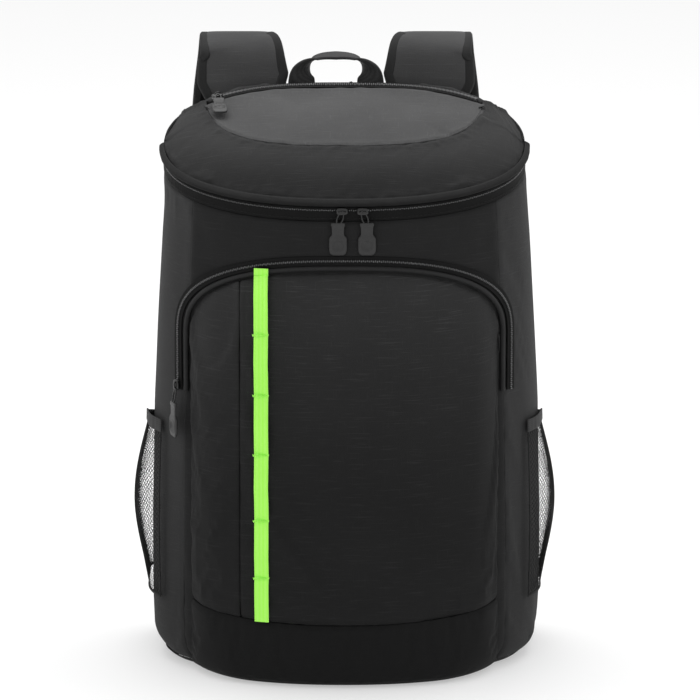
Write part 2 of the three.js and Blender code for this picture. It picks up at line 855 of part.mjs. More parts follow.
const cloth = (color, roughness = 0.9) => new THREE.MeshStandardMaterial({ color, roughness, metalness: 0 });
const bodyCloth = () => cloth(0x2b2b2d);
const lidCloth = () => cloth(0x3a3a3c);
const bootCloth = () => cloth(0x1d1d1f);
const netCloth = () => cloth(0x18181a, 0.95);
const webbing = () => cloth(0x343436, 0.85);
const greenWebbing = () => cloth(0x9df45a, 0.7);
const tape = () => cloth(0x161617, 0.8);
const plastic = () => new THREE.MeshStandardMaterial({ color: 0x1b1b1c, roughness: 0.45, metalness: 0 });
const enamel = () => new THREE.MeshStandardMaterial({ color: 0x202022, roughness: 0.35, metalness: 0.6 });

// Assembly

function addPiece(group, name, geometry, material) {
  const piece = new THREE.Mesh(geometry, material);
  piece.name = name;
  group.add(piece);
  return piece;
}

const sides = [
  { name: "left", side: -1 },
  { name: "right", side: 1 },
];

function bodyGroup() {
  const group = new THREE.Group();
  addPiece(group, "base_panel", basePanel(), bootCloth());
  addPiece(group, "front_panel", bodyWall(10, frontSeams), bodyCloth());
  addPiece(group, "back_panel", bodyWall(6, backSeams), bodyCloth());
  const rightSeams = [frontSeams[1], backSeams[0]];
  for (const { name, side } of sides) {
    const gusset = bodyWall(14, rightSeams);
    if (side < 0) {
      mirror(gusset);
    }
    addPiece(group, `side_gusset_${name}`, gusset, bodyCloth());
  }
  return group;
}

// Mirrors a geometry left to right, with its faces kept outwards
function mirror(geometry) {
  geometry.scale(-1, 1, 1);
  const corners = geometry.index.array;
  for (let first = 0; first < corners.length; first += 3) {
    [corners[first + 1], corners[first + 2]] = [corners[first + 2], corners[first + 1]];
  }
  geometry.computeVertexNormals();
}

function lidGroup() {
  const group = new THREE.Group();
  addPiece(group, "lid_crown", lidCrown(), lidCloth());
  addPiece(group, "lid_pocket_panel", lidPocketPanel(), lidCloth());
  addPiece(group, "lid_pocket_zip", lidPocketZip(), tape());
  addPiece(group, "main_zip", mainZip(), tape());
  addPiece(group, "lid_piping", lidPiping(), tape());
  addPiece(group, "lid_hinge", lidHinge(), bodyCloth());
  const along = vector(1, lidSliderTurn, lidSliderTurn * lidSeamSlope);
  const out = vector(0, -lidSeamSlope, 1).normalize();
  const x = -lidHalf * lidSliderPlace;
  const y = lidBackEdge(x) + lidZipWidth / 2;
  const top = vector(x, y, lidHeightAt(y)).addScaledVector(out, teethHeight + seamGap);
  seat(addPiece(group, "lid_pocket_slider", slider(), enamel()), top, along, out);
  const hang = vector(-lidPullerTurn, -1, -lidSeamSlope).normalize();
  const drop = linkLength + Math.hypot(sliderLength, sliderWidth) / 2 + seamGap;
  const clear = pullerThickness / 2 + lidPullerLift;
  const pullerAt = top.clone().addScaledVector(hang, drop).addScaledVector(out, clear);
  const lying = addPiece(group, "lid_pocket_puller", puller(pullerLength, pullerWidth * 0.85), plastic());
  seat(lying, pullerAt, hang.clone().cross(out).negate(), hang.clone().negate());
  return group;
}

function mainSliders() {
  const group = new THREE.Group();
  const teethFace = frontDepth - tapeRecess + teethHeight;
  for (const { name, side } of sides) {
    const piece = addPiece(group, `main_slider_${name}`, slider(), enamel());
    piece.position.set(sliderMeet + (side * sliderSpacing) / 2, -teethFace - seamGap, zipHeight);
    piece.rotation.x = Math.PI / 2;
    const hanging = addPiece(group, `main_puller_${name}`, puller(pullerLength, pullerWidth), plastic());
    const height = zipHeight - sliderWidth / 2 - seamGap - linkLength;
    const depth = teethFace + seamGap + pullerThickness / 2;
    hanging.position.set(sliderMeet + (side * pullerSpacing) / 2, -depth, height);
  }
  return group;
}

function pocketGroup() {
  const group = new THREE.Group();
  const half = pocketHalf;
  const seam = pleatPlace;
  const gap = seamGap / 2;
  addPiece(group, "pocket_side_panel", pocketCloth(6, -half, seam - gap, [true, false]), bodyCloth());
  addPiece(group, "pocket_panel", pocketCloth(15, seam + gap, half, [false, true]), bodyCloth());
  addPiece(group, "boot_panel", bootPanel(), bootCloth());
  addPiece(group, "pocket_zip", pocketZip(), tape());
  addPiece(group, "pocket_piping", pocketPiping(), cloth(0x303032));
  addPiece(group, "accent_strip", accentStrip(), greenWebbing());
  const height = pocketZipEnd + sliderLength / 2 + seamGap;
  const out = facing(frontSurface, -pocketZipSide, height);
  const face = vector(-pocketZipSide, frontSurface(-pocketZipSide, height), height);
  face.addScaledVector(out, 2 * seamGap + zipThickness + teethHeight);
  seat(addPiece(group, "pocket_slider", slider(), enamel()), face, vector(0, 0, 1), out);
  const hanging = addPiece(group, "pocket_puller", puller(smallPullerLength, pullerWidth), plastic());
  hanging.position.copy(face).addScaledVector(out, pocketPullerOut);
  hanging.position.z = height - sliderLength / 2 - seamGap - linkLength;
  hanging.rotation.z = -pocketPullerTurn;
  return group;
}

function sideGroup() {
  const group = new THREE.Group();
  for (const { name, side } of sides) {
    addPiece(group, `side_pocket_${name}`, sidePocket(side), netCloth());
    addPiece(group, `side_band_${name}`, sideBand(side), webbing());
  }
  return group;
}

function harnessGroup() {
  const group = new THREE.Group();
  addPiece(group, "carry_handle", carryHandle(), webbing());
  for (const { name, side } of sides) {
    addPiece(group, `shoulder_strap_${name}`, shoulderStrap(side), webbing());
    const frame = addPiece(group, `strap_buckle_${name}`, buckle(), plastic());
    const up = beyondStrap(side, 0).sub(beyondStrap(side, 1));
    seat(frame, beyondStrap(side, seamGap + buckleHeight / 2), vector(1, 0, 0).addScaledVector(up, -up.x), up);
    addPiece(group, `lower_strap_${name}`, lowerStrap(side), webbing());
  }
  return group;
}

const backpack = new THREE.Group();
backpack.add(bodyGroup(), lidGroup(), mainSliders(), pocketGroup(), sideGroup(), harnessGroup());

// The origin is on the floor under the middle of the whole pack
const bounds = new THREE.Box3().setFromObject(backpack);
const centre = bounds.getCenter(new THREE.Vector3());
backpack.position.set(-centre.x, -centre.y, -bounds.min.z);

export default backpack;
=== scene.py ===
import bpy
import math
import numpy as np
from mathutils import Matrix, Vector, noise


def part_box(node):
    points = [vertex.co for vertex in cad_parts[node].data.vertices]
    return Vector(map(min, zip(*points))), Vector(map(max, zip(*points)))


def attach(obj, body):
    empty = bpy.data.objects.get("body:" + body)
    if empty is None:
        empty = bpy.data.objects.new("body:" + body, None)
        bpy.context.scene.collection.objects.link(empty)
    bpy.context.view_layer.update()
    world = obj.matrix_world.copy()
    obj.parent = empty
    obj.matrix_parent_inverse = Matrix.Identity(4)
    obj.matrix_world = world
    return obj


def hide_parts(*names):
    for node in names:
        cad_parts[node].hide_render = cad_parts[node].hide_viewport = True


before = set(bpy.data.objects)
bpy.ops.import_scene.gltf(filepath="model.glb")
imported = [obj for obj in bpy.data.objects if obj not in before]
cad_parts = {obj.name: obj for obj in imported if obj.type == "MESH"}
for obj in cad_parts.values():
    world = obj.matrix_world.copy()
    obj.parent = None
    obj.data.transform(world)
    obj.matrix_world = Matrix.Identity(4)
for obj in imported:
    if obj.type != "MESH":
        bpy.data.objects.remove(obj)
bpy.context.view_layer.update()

# Sizes are in millimetres, in the body's own coordinates: x across, y back, z up
body = {
    "width": 319, "frontDepth": 76, "backDepth": 92, "round": 88, "power": 2.3, "backCorner": 80, "wall": 6,
    "roll": 27, "base": 6, "baseInset": 9, "gap": 0.3, "lap": 1.6, "rowSpread": 1.25,
}
bodyForm = [  # rise, half width share, back corner share
    (0, 0.494, 0.42), (0.13, 0.5, 0.42), (0.3, 0.5, 0.44), (0.542, 0.4947, 0.5), (0.646, 0.487, 0.58),
    (0.75, 0.4805, 0.68), (0.905, 0.4715, 0.87), (1, 0.464, 0.96), (1.1, 0.461, 1), (1.2, 0.459, 1),
]
outline = [
    ("leftSide", 0.12), ("front", 0.4), ("rightSide", 0.12), ("rightBackCorner", 0.07), ("back", 0.22),
    ("leftBackCorner", 0.07),
]
opening = {
    "height": 394.6, "slope": 0.295, "below": 9, "above": 3, "thick": 1.6, "recess": 0.6, "upper": 1.1,
    "piping": 6.6, "pipingOut": 4, "share": 0.64,
}
pairs = (("left", -1), ("right", 1))
yShift = body["backDepth"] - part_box("back_panel")[1][1] * 1000  # from the body's middle to the frame's origin


def mix(a, b, t):
    return a + (b - a) * t


def clamp(value, low=0.0, high=1.0):
    return max(low, min(high, value))


def unit(vector):
    vector = np.asarray(vector, float)
    return vector / (np.linalg.norm(vector) + 1e-12)


def smooth(low, high, value):
    t = np.clip((value - low) / (high - low), 0, 1)
    return t * t * (3 - 2 * t)


def lookUp(table, column, where):
    last = len(table) - 2
    index = next((i for i in range(last + 1) if where <= table[i + 1][0]), last)
    low, high = table[index], table[index + 1]
    return mix(low[column], high[column], (where - low[0]) / (high[0] - low[0]))


def bent(value, power):  # raised to a power, with its sign kept
    return math.copysign(abs(value) ** power, value)


def grain(x, y, z):
    return noise.noise(Vector((x, y, z)))


grainOver = np.vectorize(grain, otypes=[float])


# The body's form, as the part has it
def rollAt(height):
    left = max(body["roll"] - height, 0)
    return body["roll"] - math.sqrt(max(body["roll"] ** 2 - left ** 2, 0))


def sectionAt(height, inward=0.0):
    half = body["width"] * lookUp(bodyForm, 1, height / opening["height"])
    corner = body["backCorner"] * lookUp(bodyForm, 2, height / opening["height"])
    inset = rollAt(height) + inward
    return {
        "roundX": half - inset, "roundDepth": body["round"] - inset,
        "roundY": body["round"] - body["frontDepth"],
        "backX": half - corner, "backY": body["backDepth"] - corner, "backRadius": corner - inset,
    }


def outlinePoint(share, height, inward=0.0):
    part = sectionAt(height, inward)
    start, index = 0.0, 0
    while index < len(outline) - 1 and share > start + outline[index][1]:
        start += outline[index][1]
        index += 1
    stretch, length = outline[index]
    t = clamp((share - start) / length)
    side = -1 if stretch.startswith("left") else 1
    if stretch.endswith("Side"):
        return side * part["roundX"], mix(part["backY"], part["roundY"], t if side < 0 else 1 - t), height
    if stretch == "front":
        across, ahead = bent(-math.cos(math.pi * t), 2 / body["power"]), max(math.sin(math.pi * t), 0)
        y = part["roundY"] - part["roundDepth"] * ahead ** (2 / body["power"])
        return part["roundX"] * across, y, height
    if stretch == "back":
        return mix(part["backX"], -part["backX"], t), part["backY"] + part["backRadius"], height
    turn = math.pi / 2 * (1 - t if side < 0 else t)
    x = part["backX"] + part["backRadius"] * math.cos(turn)
    return side * x, part["backY"] + part["backRadius"] * math.sin(turn), height


def openingAt(y):
    return opening["height"] + opening["slope"] * (y + body["frontDepth"])


def wallPoint(share, up):
    bottom = body["base"] - body["lap"]
    top = openingAt(outlinePoint(share, opening["height"])[1]) - opening["below"]
    return outlinePoint(share, mix(bottom, top, up ** body["rowSpread"]))


def upperPoint(share):
    return outlinePoint(share, opening["height"] * opening["upper"])


evenTables = {}


def evenShare(key, pointAt, low, high, u):  # the outline share at an even distance along a line
    if key not in evenTables:
        shares = np.linspace(low, high, 241)
        steps = np.linalg.norm(np.diff([pointAt(share) for share in shares], axis=0), axis=1)
        lengths = np.concatenate([[0], np.cumsum(steps)])
        evenTables[key] = lengths / lengths[-1], shares
    return float(np.interp(u, *evenTables[key]))


def frontSurface(x, height):
    part = sectionAt(height)
    share = min(abs(x) / part["roundX"], 1)
    return part["roundY"] - part["roundDepth"] * (1 - share ** body["power"]) ** (1 / body["power"])


def facing(surface, x, height):
    step = 0.5
    slopeX = (surface(x + step, height) - surface(x - step, height)) / (2 * step)
    slopeZ = (surface(x, height + step) - surface(x, height - step)) / (2 * step)
    return unit((slopeX, -1, slopeZ))


# Mesh builders
def toFrame(points):
    points = np.array(points, float).reshape(-1, 3) / 1000
    points[:, 1] -= yShift / 1000
    return points


def makeMesh(name, points, faces, material=None, flat=False):
    mesh = bpy.data.meshes.new(name)
    mesh.from_pydata(toFrame(points).tolist(), [], [tuple(int(i) for i in face) for face in faces])
    mesh.validate()
    mesh.polygons.foreach_set("use_smooth", [not flat] * len(mesh.polygons))
    piece = bpy.data.objects.new(name, mesh)
    bpy.context.collection.objects.link(piece)
    if material:
        mesh.materials.append(material)
    return piece


def gridFaces(rows, across, ring=False):
    columns = across if ring else across - 1
    faces = []
    for row in range(rows - 1):
        for column in range(columns):
            a, b = row * across + column, row * across + (column + 1) % across
            faces.append((a, b, b + across, a + across))
    return faces


def addModifier(piece, kind, **settings):
    modifier = piece.modifiers.new(kind.lower(), kind)
    for key, value in settings.items():
        setattr(modifier, key, value)
    return modifier


def surfaceGrid(surface, columns, rows, ring=False):
    across = columns if ring else columns + 1
    return np.array([[surface(c / columns, r / rows) for c in range(across)] for r in range(rows + 1)], float)


def gridNormals(points, ring=False):
    if ring:
        alongU = np.roll(points, -1, axis=1) - np.roll(points, 1, axis=1)
    else:
        alongU = np.gradient(points, axis=1)
    normals = np.cross(alongU, np.gradient(points, axis=0))
    return normals / (np.linalg.norm(normals, axis=2, keepdims=True) + 1e-12)


def gridLengths(points, axis):
    steps = np.linalg.norm(np.diff(points, axis=axis), axis=2)
    start = np.zeros((steps.shape[0], 1)) if axis == 1 else np.zeros((1, steps.shape[1]))
    return np.cumsum(np.concatenate([start, steps], axis=axis), axis=axis)


softness = {
    "rows": 40, "columns": 60, "frames": 20, "quality": 6, "mass": 0.25, "stiff": 12, "shear": 4,
    "bend": 0.12, "slack": 0.006, "push": 3.0, "weight": 0.3, "cap": 3.0,
}


def readOff(values, places, count):
    return np.stack([np.interp(np.arange(count), places, values[:, axis]) for axis in range(3)], 1)


# The cloth of a piece, sewn along its edges, settles on a coarse grid, and the fine grid follows it
def settle(points, ring, look):
    rows, columns = points.shape[:2]
    end = columns * (1 - 1 / look["columns"]) if ring else columns - 1
    down = np.linspace(0, rows - 1, look["rows"]).round().astype(int)
    over = np.linspace(0, end, look["columns"]).round().astype(int)
    start = points[np.ix_(down, over)]
    sheet = makeMesh("settling", start, gridFaces(len(down), len(over), ring))
    pins = sheet.vertex_groups.new(name="sewn")
    for row in range(len(down)):
        for column in range(len(over)):
            if row in (0, len(down) - 1) or (not ring and column in (0, len(over) - 1)):
                pins.add([row * len(over) + column], 1.0, "REPLACE")
    cloth = sheet.modifiers.new("settling", "CLOTH")
    for key, value in {
        "quality": look["quality"], "mass": look["mass"], "tension_stiffness": look["stiff"],
        "compression_stiffness": look["stiff"], "shear_stiffness": look["shear"],
        "bending_stiffness": look["bend"], "vertex_group_mass": "sewn", "shrink_min": -look["slack"],
        "use_pressure": True, "uniform_pressure_force": look["push"],
    }.items():
        setattr(cloth.settings, key, value)
    cloth.settings.effector_weights.gravity = look["weight"]
    cloth.collision_settings.use_collision = False
    cloth.collision_settings.use_self_collision = False
    cloth.point_cache.frame_end = look["frames"]
    for number in range(1, look["frames"] + 1):
        bpy.context.scene.frame_set(number)
    done = sheet.evaluated_get(bpy.context.evaluated_depsgraph_get())
    ends = np.empty(len(done.data.vertices) * 3)
    done.data.vertices.foreach_get("co", ends)
    ends = ends.reshape(-1, 3) * 1000
    ends[:, 1] += yShift
    moved = ends.reshape(start.shape) - start
    bpy.data.objects.remove(sheet)
    bpy.context.scene.frame_set(1)
    lengths = np.linalg.norm(moved, axis=2, keepdims=True)
    moved = moved * np.tanh(lengths / look["cap"]) * look["cap"] / np.maximum(lengths, 1e-6)
    if ring:
        moved, over = np.concatenate([moved, moved[:, :1]], 1), np.append(over, columns)
    fine = np.stack([readOff(row, over, columns) for row in moved])
    return np.stack([readOff(fine[:, column], down, rows) for column in range(columns)], 1)


def clothPiece(name, surface, columns, rows, material, relief=None, thick=0.0, ring=False, flip=False,
               soft=None):
    points = surfaceGrid(surface, columns, rows, ring)
    normals = gridNormals(points, ring) * (-1 if flip else 1)
    if soft:
        moved = settle(points, ring, {**softness, **soft})
        points = points + moved
        print(f"{name} settled, moved up to {np.linalg.norm(moved, axis=2).max():.1f} mm")
    if relief is not None:
        s, t = gridLengths(points, 1), gridLengths(points, 0)
        edges = {"left": s, "right": s[:, -1:] - s, "low": t, "high": t[-1:, :] - t}
        points = points + normals * relief(points, s, t, edges)[:, :, None]
    faces = gridFaces(rows + 1, points.shape[1], ring)
    if flip:
        faces = [face[::-1] for face in faces]
    piece = makeMesh(name, points, faces, material)
    if thick:
        addModifier(piece, "SOLIDIFY", thickness=thick / 1000, offset=-1, use_even_offset=False)
    return piece


def sewnEdge(distance, along, seam, seed):  # seam: tuck, its width, pucker, its pitch, its reach
    tuck, width, pucker, pitch, reach = seam
    shape = -tuck * np.exp(-(distance / width) ** 2)
    fade = np.exp(-distance / reach)
    return shape + pucker * fade * grainOver(along / pitch, distance / (reach * 1.6), seed)


def sew(height, edges, *seams):
    for edge, along, seam, seed in seams:
        height = height + sewnEdge(edges[edge], along, seam, seed)
    return height


# Rows of teeth and stitches, and bands that follow a line
def resample(points, spacing):
    points = np.asarray(points, float)
    lengths = np.concatenate([[0], np.cumsum(np.linalg.norm(np.diff(points, axis=0), axis=1))])
    count = max(int(round(lengths[-1] / spacing)), 1)
    places = (np.arange(count) + 0.5) * lengths[-1] / count
    return np.stack([np.interp(places, lengths, points[:, axis]) for axis in range(points.shape[1])], 1)


def scatter(name, base, seats, material):
    shape, faces = base
    shape = np.asarray(shape, float)
    count = len(shape)
    points = np.concatenate([np.asarray(at) + shape @ np.array([x, y, z]) for at, x, y, z in seats])
    faces = [tuple(i + count * n for i in face) for n in range(len(seats)) for face in faces]
    return makeMesh(name, points, faces, material)


def seatsAlong(points, outs, spacing, lift=0.0, side=0.0):
    joined = resample(np.concatenate([points, outs], axis=1), spacing)
    ahead = np.gradient(joined[:, :3], axis=0)
    seats = []
    for row, along in zip(joined, ahead):
        x, z = unit(along), unit(row[3:])
        y = unit(np.cross(z, x))
        z = np.cross(x, y)
        seats.append((row[:3] + z * lift + y * side, x, y, z))
    return seats


def tubeFaces(rings, sides, flip=False):
    last = (rings - 1) * sides
    faces = [*gridFaces(rings, sides, True), tuple(range(sides))[::-1], tuple(range(last, last + sides))]
    return [face[::-1] for face in faces] if flip else faces


def roundedBar(length, width, height, sides=8, taper=0.62):
    rings = [(-0.5, 0.25), (-0.42, taper), (-0.2, 1), (0.2, 1), (0.42, taper), (0.5, 0.25)]
    points = []
    for place, size in rings:
        for k in range(sides):
            turn = 2 * math.pi * k / sides
            across, up = math.cos(turn) * width / 2 * size, math.sin(turn) * height / 2 * size
            points.append((place * length, across, up))
    return points, tubeFaces(len(rings), sides)


def zipTeeth(name, points, outs, teeth, lift):
    seats = []
    for n, (at, x, y, z) in enumerate(seatsAlong(points, outs, teeth["pitch"], lift)):
        shift = teeth["stagger"] * (1 if n % 2 else -1)
        seats.append((at + y * shift, y, -x, z))
    tooth = roundedBar(teeth["width"], teeth["pitch"] * 0.62, teeth["height"], 6)
    return scatter(name, tooth, seats, coilPlastic)


def stitches(name, points, outs, lift, side=0.0):
    thread = seamThread
    base = roundedBar(thread["pitch"] * thread["cover"], thread["width"], thread["width"] * 0.8, 5)
    return scatter(name, base, seatsAlong(points, outs, thread["pitch"], lift, side), threadDark)


def bandMesh(name, stations, profileAt, material, bevel=0.0):
    stations = [(np.asarray(at, float), np.asarray(out, float)) for at, out in stations]
    last = len(stations) - 1
    points = []
    for index, (at, out) in enumerate(stations):
        along = unit(stations[min(index + 1, last)][0] - stations[max(index - 1, 0)][0])
        across = unit(np.cross(along, out))
        up = np.cross(across, along)
        points += [at + across * side + up * height for side, height in profileAt(index)]
    piece = makeMesh(name, points, tubeFaces(last + 1, len(profileAt(0)), True), material)
    if bevel:
        addModifier(piece, "BEVEL", width=bevel / 1000, segments=2, limit_method="ANGLE", angle_limit=0.9)
    return piece


def flatProfile(width, thickness, ribs=0, rib=0.0, base=0.0):
    steps = max(ribs * 4, 1)
    half = width / 2
    bottom = [(mix(-half, half, k / 3), base) for k in range(4)]
    top = []
    for k in range(steps + 1):
        share = k / steps
        wave = rib * (0.5 - 0.5 * math.cos(2 * math.pi * ribs * share)) if ribs else 0
        top.append((mix(half, -half, share), base + thickness + wave - rib))
    return bottom + top


def follow(points, steps):
    curve = [Vector(point) for point in points]
    made = []
    for step in range(steps + 1):
        place = step / steps * (len(curve) - 1)
        index = min(int(place), len(curve) - 2)
        t = place - index
        before = curve[index - 1] if index > 0 else 2 * curve[0] - curve[1]
        after = curve[index + 2] if index + 2 < len(curve) else 2 * curve[-1] - curve[-2]
        one, two = curve[index], curve[index + 1]
        made.append(np.array(catmull(before, one, two, after, t)))
    return made


def catmull(before, one, two, after, t):  # centripetal, as the part's own curves
    ends = ((before, one), (one, two), (two, after))
    first, middle, last = (max((b - a).length ** 0.5, 1e-4) for a, b in ends)
    startSlope = (one - before) / first - (two - before) / (first + middle) + (two - one) / middle
    endSlope = (two - one) / middle - (after - one) / (middle + last) + (after - two) / last
    startSlope, endSlope = startSlope * middle, endSlope * middle
    a = 2 * (one - two) + startSlope + endSlope
    b = -3 * one + 3 * two - 2 * startSlope - endSlope
    return ((a * t + b) * t + startSlope) * t + one


def tangents(points):
    return [unit(row) for row in np.gradient(np.array(points), axis=0)]


def hold(piece, slot, *nodes, parts=()):
    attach(piece, "root")
    if nodes:
        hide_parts(*nodes)
    for part in parts:
        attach(part, "root")
    return piece


# Materials: one socket with the usual operators, and the nodes that they make
class Value:
    def __init__(self, shader, socket):
        self.shader, self.socket = shader, socket

    def math(self, operation, *others):
        return self.shader.add("ShaderNodeMath", {"operation": operation}, dict(enumerate([self, *others])))

    def __add__(self, other):
        return self.math("ADD", other)

    def __mul__(self, other):
        return self.math("MULTIPLY", other)

    __radd__, __rmul__ = __add__, __mul__

    def along(self, direction):  # the distance along a direction, of a position
        sockets = {0: self, 1: direction}
        return self.shader.add("ShaderNodeVectorMath", {"operation": "DOT_PRODUCT"}, sockets, "Value")

    def band(self, low, high):  # 0 below low, 1 above high
        sockets = {"Value": self, "From Min": low, "From Max": high}
        return self.shader.add("ShaderNodeMapRange", {"interpolation_type": "SMOOTHSTEP"}, sockets)

    def wave(self, pitch):
        return (self * (2 * math.pi / pitch)).math("SINE") * 0.5 + 0.5


class Shader:
    def __init__(self, name, colour, roughness, constants=None):
        self.material = bpy.data.materials.new(name)
        self.material.use_nodes = True
        self.nodes, self.links = self.material.node_tree.nodes, self.material.node_tree.links
        self.main = self.nodes["Principled BSDF"]
        for key, value in {"Base Color": (*colour, 1), "Roughness": roughness, **(constants or {})}.items():
            self.main.inputs[key].default_value = value

    def add(self, kind, settings=None, sockets=None, output=0):
        node = self.nodes.new(kind)
        for key, value in (settings or {}).items():
            setattr(node, key, value)
        for key, value in (sockets or {}).items():
            if isinstance(value, Value):
                self.links.new(value.socket, node.inputs[key])
            else:
                node.inputs[key].default_value = value
        return Value(self, node.outputs[output])

    def where(self):
        return self.add("ShaderNodeTexCoord", output="Object")

    def place(self, x, y):
        return self.add("ShaderNodeCombineXYZ", None, {0: x, 1: y})

    def patches(self, vector, scale, detail, low, high):  # noise, 0 below low and 1 above high
        sockets = {"Vector": vector, "Scale": scale, "Detail": detail, "Roughness": 0.5}
        return self.add("ShaderNodeTexNoise", None, sockets).band(low, high)

    def blend(self, factor, one, two):
        tones = [(*tone, 1) if isinstance(tone, tuple) else tone for tone in (one, two)]
        return self.add("ShaderNodeMix", {"data_type": "RGBA"}, {0: factor, 6: tones[0], 7: tones[1]}, 2)

    def feed(self, name, value):
        self.links.new(value.socket, self.main.inputs[name])

    def bump(self, height, distance, strength):
        sockets = {"Height": height, "Distance": distance, "Strength": strength}
        self.feed("Normal", self.add("ShaderNodeBump", None, sockets))


def grey(level):  # a photograph's grey, 0 to 255, as a linear colour
    share = level / 255
    tone = share / 12.92 if share <= 0.04045 else ((share + 0.055) / 1.055) ** 2.4
    return (tone, tone, tone * 1.01)


clothLook = {
    "across": (1, 0, 0), "up": (0, 0, 1), "mirror": False, "weft": 0.8, "warp": 0.35, "streak": 0.3,
    "fade": None, "rough": 0.82, "weave": 7400, "bump": 0.00022,
}


def makeCloth(name, tone, **own):
    look = {**clothLook, **own}
    constants = {"Sheen Weight": 0.02, "Sheen Roughness": 0.45, "Specular IOR Level": 0.1}
    shader = Shader(name, grey(tone), look["rough"], constants)
    where = shader.where()
    s, t = where.along(look["across"]), where.along(look["up"])
    if look["mirror"]:
        s = where.along((1, 0, 0)).math("ABSOLUTE") + where.along((0, 1, 0))
    weft = shader.patches(shader.place(s * 42, t * 900), 1.0, 1.5, 0.56, 0.74)
    warp = shader.patches(shader.place(s * 1000, t * 70), 1.0, 1.5, 0.6, 0.76)
    threads = (s * look["weave"]).math("SINE") * (t * look["weave"]).math("SINE")
    slub = weft * look["weft"] + warp * look["warp"]
    mottle = shader.patches(where, 14.0, 3.0, 0.2, 0.8)
    fine = shader.patches(where, 1500.0, 1.0, 0.3, 0.7)
    base = shader.blend(mottle * 0.7 + fine * 0.3, grey(tone * 0.9), grey(tone * 1.1))
    colour = shader.blend(slub * look["streak"], base, grey(tone * 1.62))
    if look["fade"]:  # painted shade, darker below: from height, to height, and what is left of the tone
        low, high, dark = look["fade"]
        share = where.along((0, 0, 1)).band(low, high) * (1 - dark) + dark
        colour = shader.blend(share, (0.0, 0.0, 0.0), colour)
    shader.feed("Base Color", colour)
    shader.feed("Roughness", mottle * 0.12 + (look["rough"] - 0.08))
    shader.bump(slub * 0.6 + threads * 0.22 + fine * 0.25, look["bump"], 0.9)
    return shader.material


def makeTape(name, tone, across, ribs=0.0009, rough=0.7):
    shader = Shader(name, grey(tone), rough, {"Specular IOR Level": 0.15})
    where = shader.where()
    rib = where.along(across).wave(ribs)
    fine = shader.patches(where, 1300.0, 1.0, 0.3, 0.7)
    wear = shader.patches(where, 40.0, 3.0, 0.45, 0.8)
    share = rib * 0.35 + fine * 0.35 + wear * 0.3
    shader.feed("Base Color", shader.blend(share, grey(tone * 0.8), grey(tone * 1.35)))
    shader.feed("Roughness", fine * 0.15 + (rough - 0.08))
    shader.bump(rib * 0.7 + fine * 0.3, 0.00018, 0.8)
    return shader.material


def makeHard(name, tone, rough):
    shader = Shader(name, grey(tone), rough)
    where = shader.where()
    pits = shader.patches(where, 2080.0, 2.0, 0.3, 0.75)
    rub = shader.patches(where, 156.0, 3.0, 0.5, 0.78)
    shader.feed("Base Color", shader.blend(rub * 0.45, grey(tone), grey(tone * 1.5)))
    shader.feed("Roughness", pits * 0.12 + rub * 0.08 + (rough - 0.08))
    shader.bump(pits, 0.00005, 0.6)
    return shader.material


def makeGreen():
    strong, deep, sheenGreen = (0.34, 0.95, 0.05), (0.25, 0.8, 0.03), (0.5, 0.98, 0.2)
    shader = Shader("green webbing", strong, 0.62, {"Sheen Weight": 0.1})
    where = shader.where()
    rib = where.along((1, 0, 0)).wave(0.0031)
    twill = where.along((0.9, 0, 1.0)).wave(2 * math.pi / 5200)
    soil = shader.patches(where, 30.0, 3.0, 0.4, 0.8)
    fine = shader.patches(where, 1400.0, 1.0, 0.3, 0.7)
    # the weave's ribs and twill lines are a real pattern, painted towards the lighter green of a painted sheen
    # highlight
    colour = shader.blend(rib * 0.35 + twill * 0.2 + fine * 0.15, strong, sheenGreen)
    shader.feed("Base Color", shader.blend(soil * 0.18, colour, deep))
    shader.feed("Roughness", fine * 0.15 + 0.55)
    shader.bump(rib * 0.6 + twill * 0.3 + fine * 0.2, 0.0002, 0.8)
    return shader.material


bodyCloth = makeCloth("body cloth", 33)
# the sides are the body's cloth painted lighter, as painted light from the side lamps, with painted shade
# towards the bottom
sideCloth = makeCloth("side cloth", 50, mirror=True, streak=0.2, fade=(0.02, 0.24, 0.72))
# the pocket is the body's cloth painted lighter at its upward-facing top, as painted light, with painted shade
# towards the bottom
pocketCloth = makeCloth("pocket cloth", 49, streak=0.4, fade=(0.13, 0.44, 0.38))
bootCloth = makeCloth("boot cloth", 21, streak=0.15)
# the lid's slope and top are the body's cloth painted lighter, as painted light from above, with painted shade
# towards their lower edges
crownCloth = makeCloth("lid cloth", 46, up=(0, 0.7, 0.7), fade=(0.4, 0.445, 0.62))
topCloth = makeCloth("lid top cloth", 74, up=(0, 1, 0), streak=0.2, warp=0.7, fade=(0.425, 0.463, 0.66))
strapCloth = makeCloth("strap cloth", 68, up=(0, 0.7, 0.7), streak=0.12)
bindingTape = makeTape("binding tape", 38, (0.7, 0, 0.7))
rollTape = makeTape("edge roll tape", 24, (0.5, 0.5, 0.7))
# the strap's inner face: a dark back cloth, made darker still as painted shade
strapBackShade = makeTape("strap back mesh, painted shade", 8, (1, 0, 1), 0.0018, 0.9)
zipTape = makeTape("zip tape", 10, (1, 0.4, 0))
webTape = makeTape("webbing", 47, (0, 1, 0.2), 0.0022)
elasticTape = makeTape("elastic", 48, (0, 0, 1), 0.0016)
netThread = makeTape("net thread", 12, (1, 0, 0), 0.0008)
threadDark = makeTape("sewing thread", 30, (1, 1, 0), 0.0006, 0.6)
coilPlastic = makeHard("zip coil", 92, 0.42)
pullPlastic = makeHard("moulded puller", 30, 0.5)
slideEnamel = makeHard("slider enamel", 14, 0.28)
bucklePlastic = makeHard("buckle plastic", 28, 0.45)
seamThread = {"pitch": 3.3, "cover": 0.78, "width": 0.55}
greenWebbing = makeGreen()
print("materials made")


# Body walls
wallLook = {
    "trim": -0.0007, "frontSeams": (0.2, 0.44), "backSeams": (0.71, 0.93), "wave": 0.7, "sunk": 0.4,
    "side": (1.6, 2.2, 0.35, 9, 10), "top": (0.6, 4, 0.5, 8, 14),
}


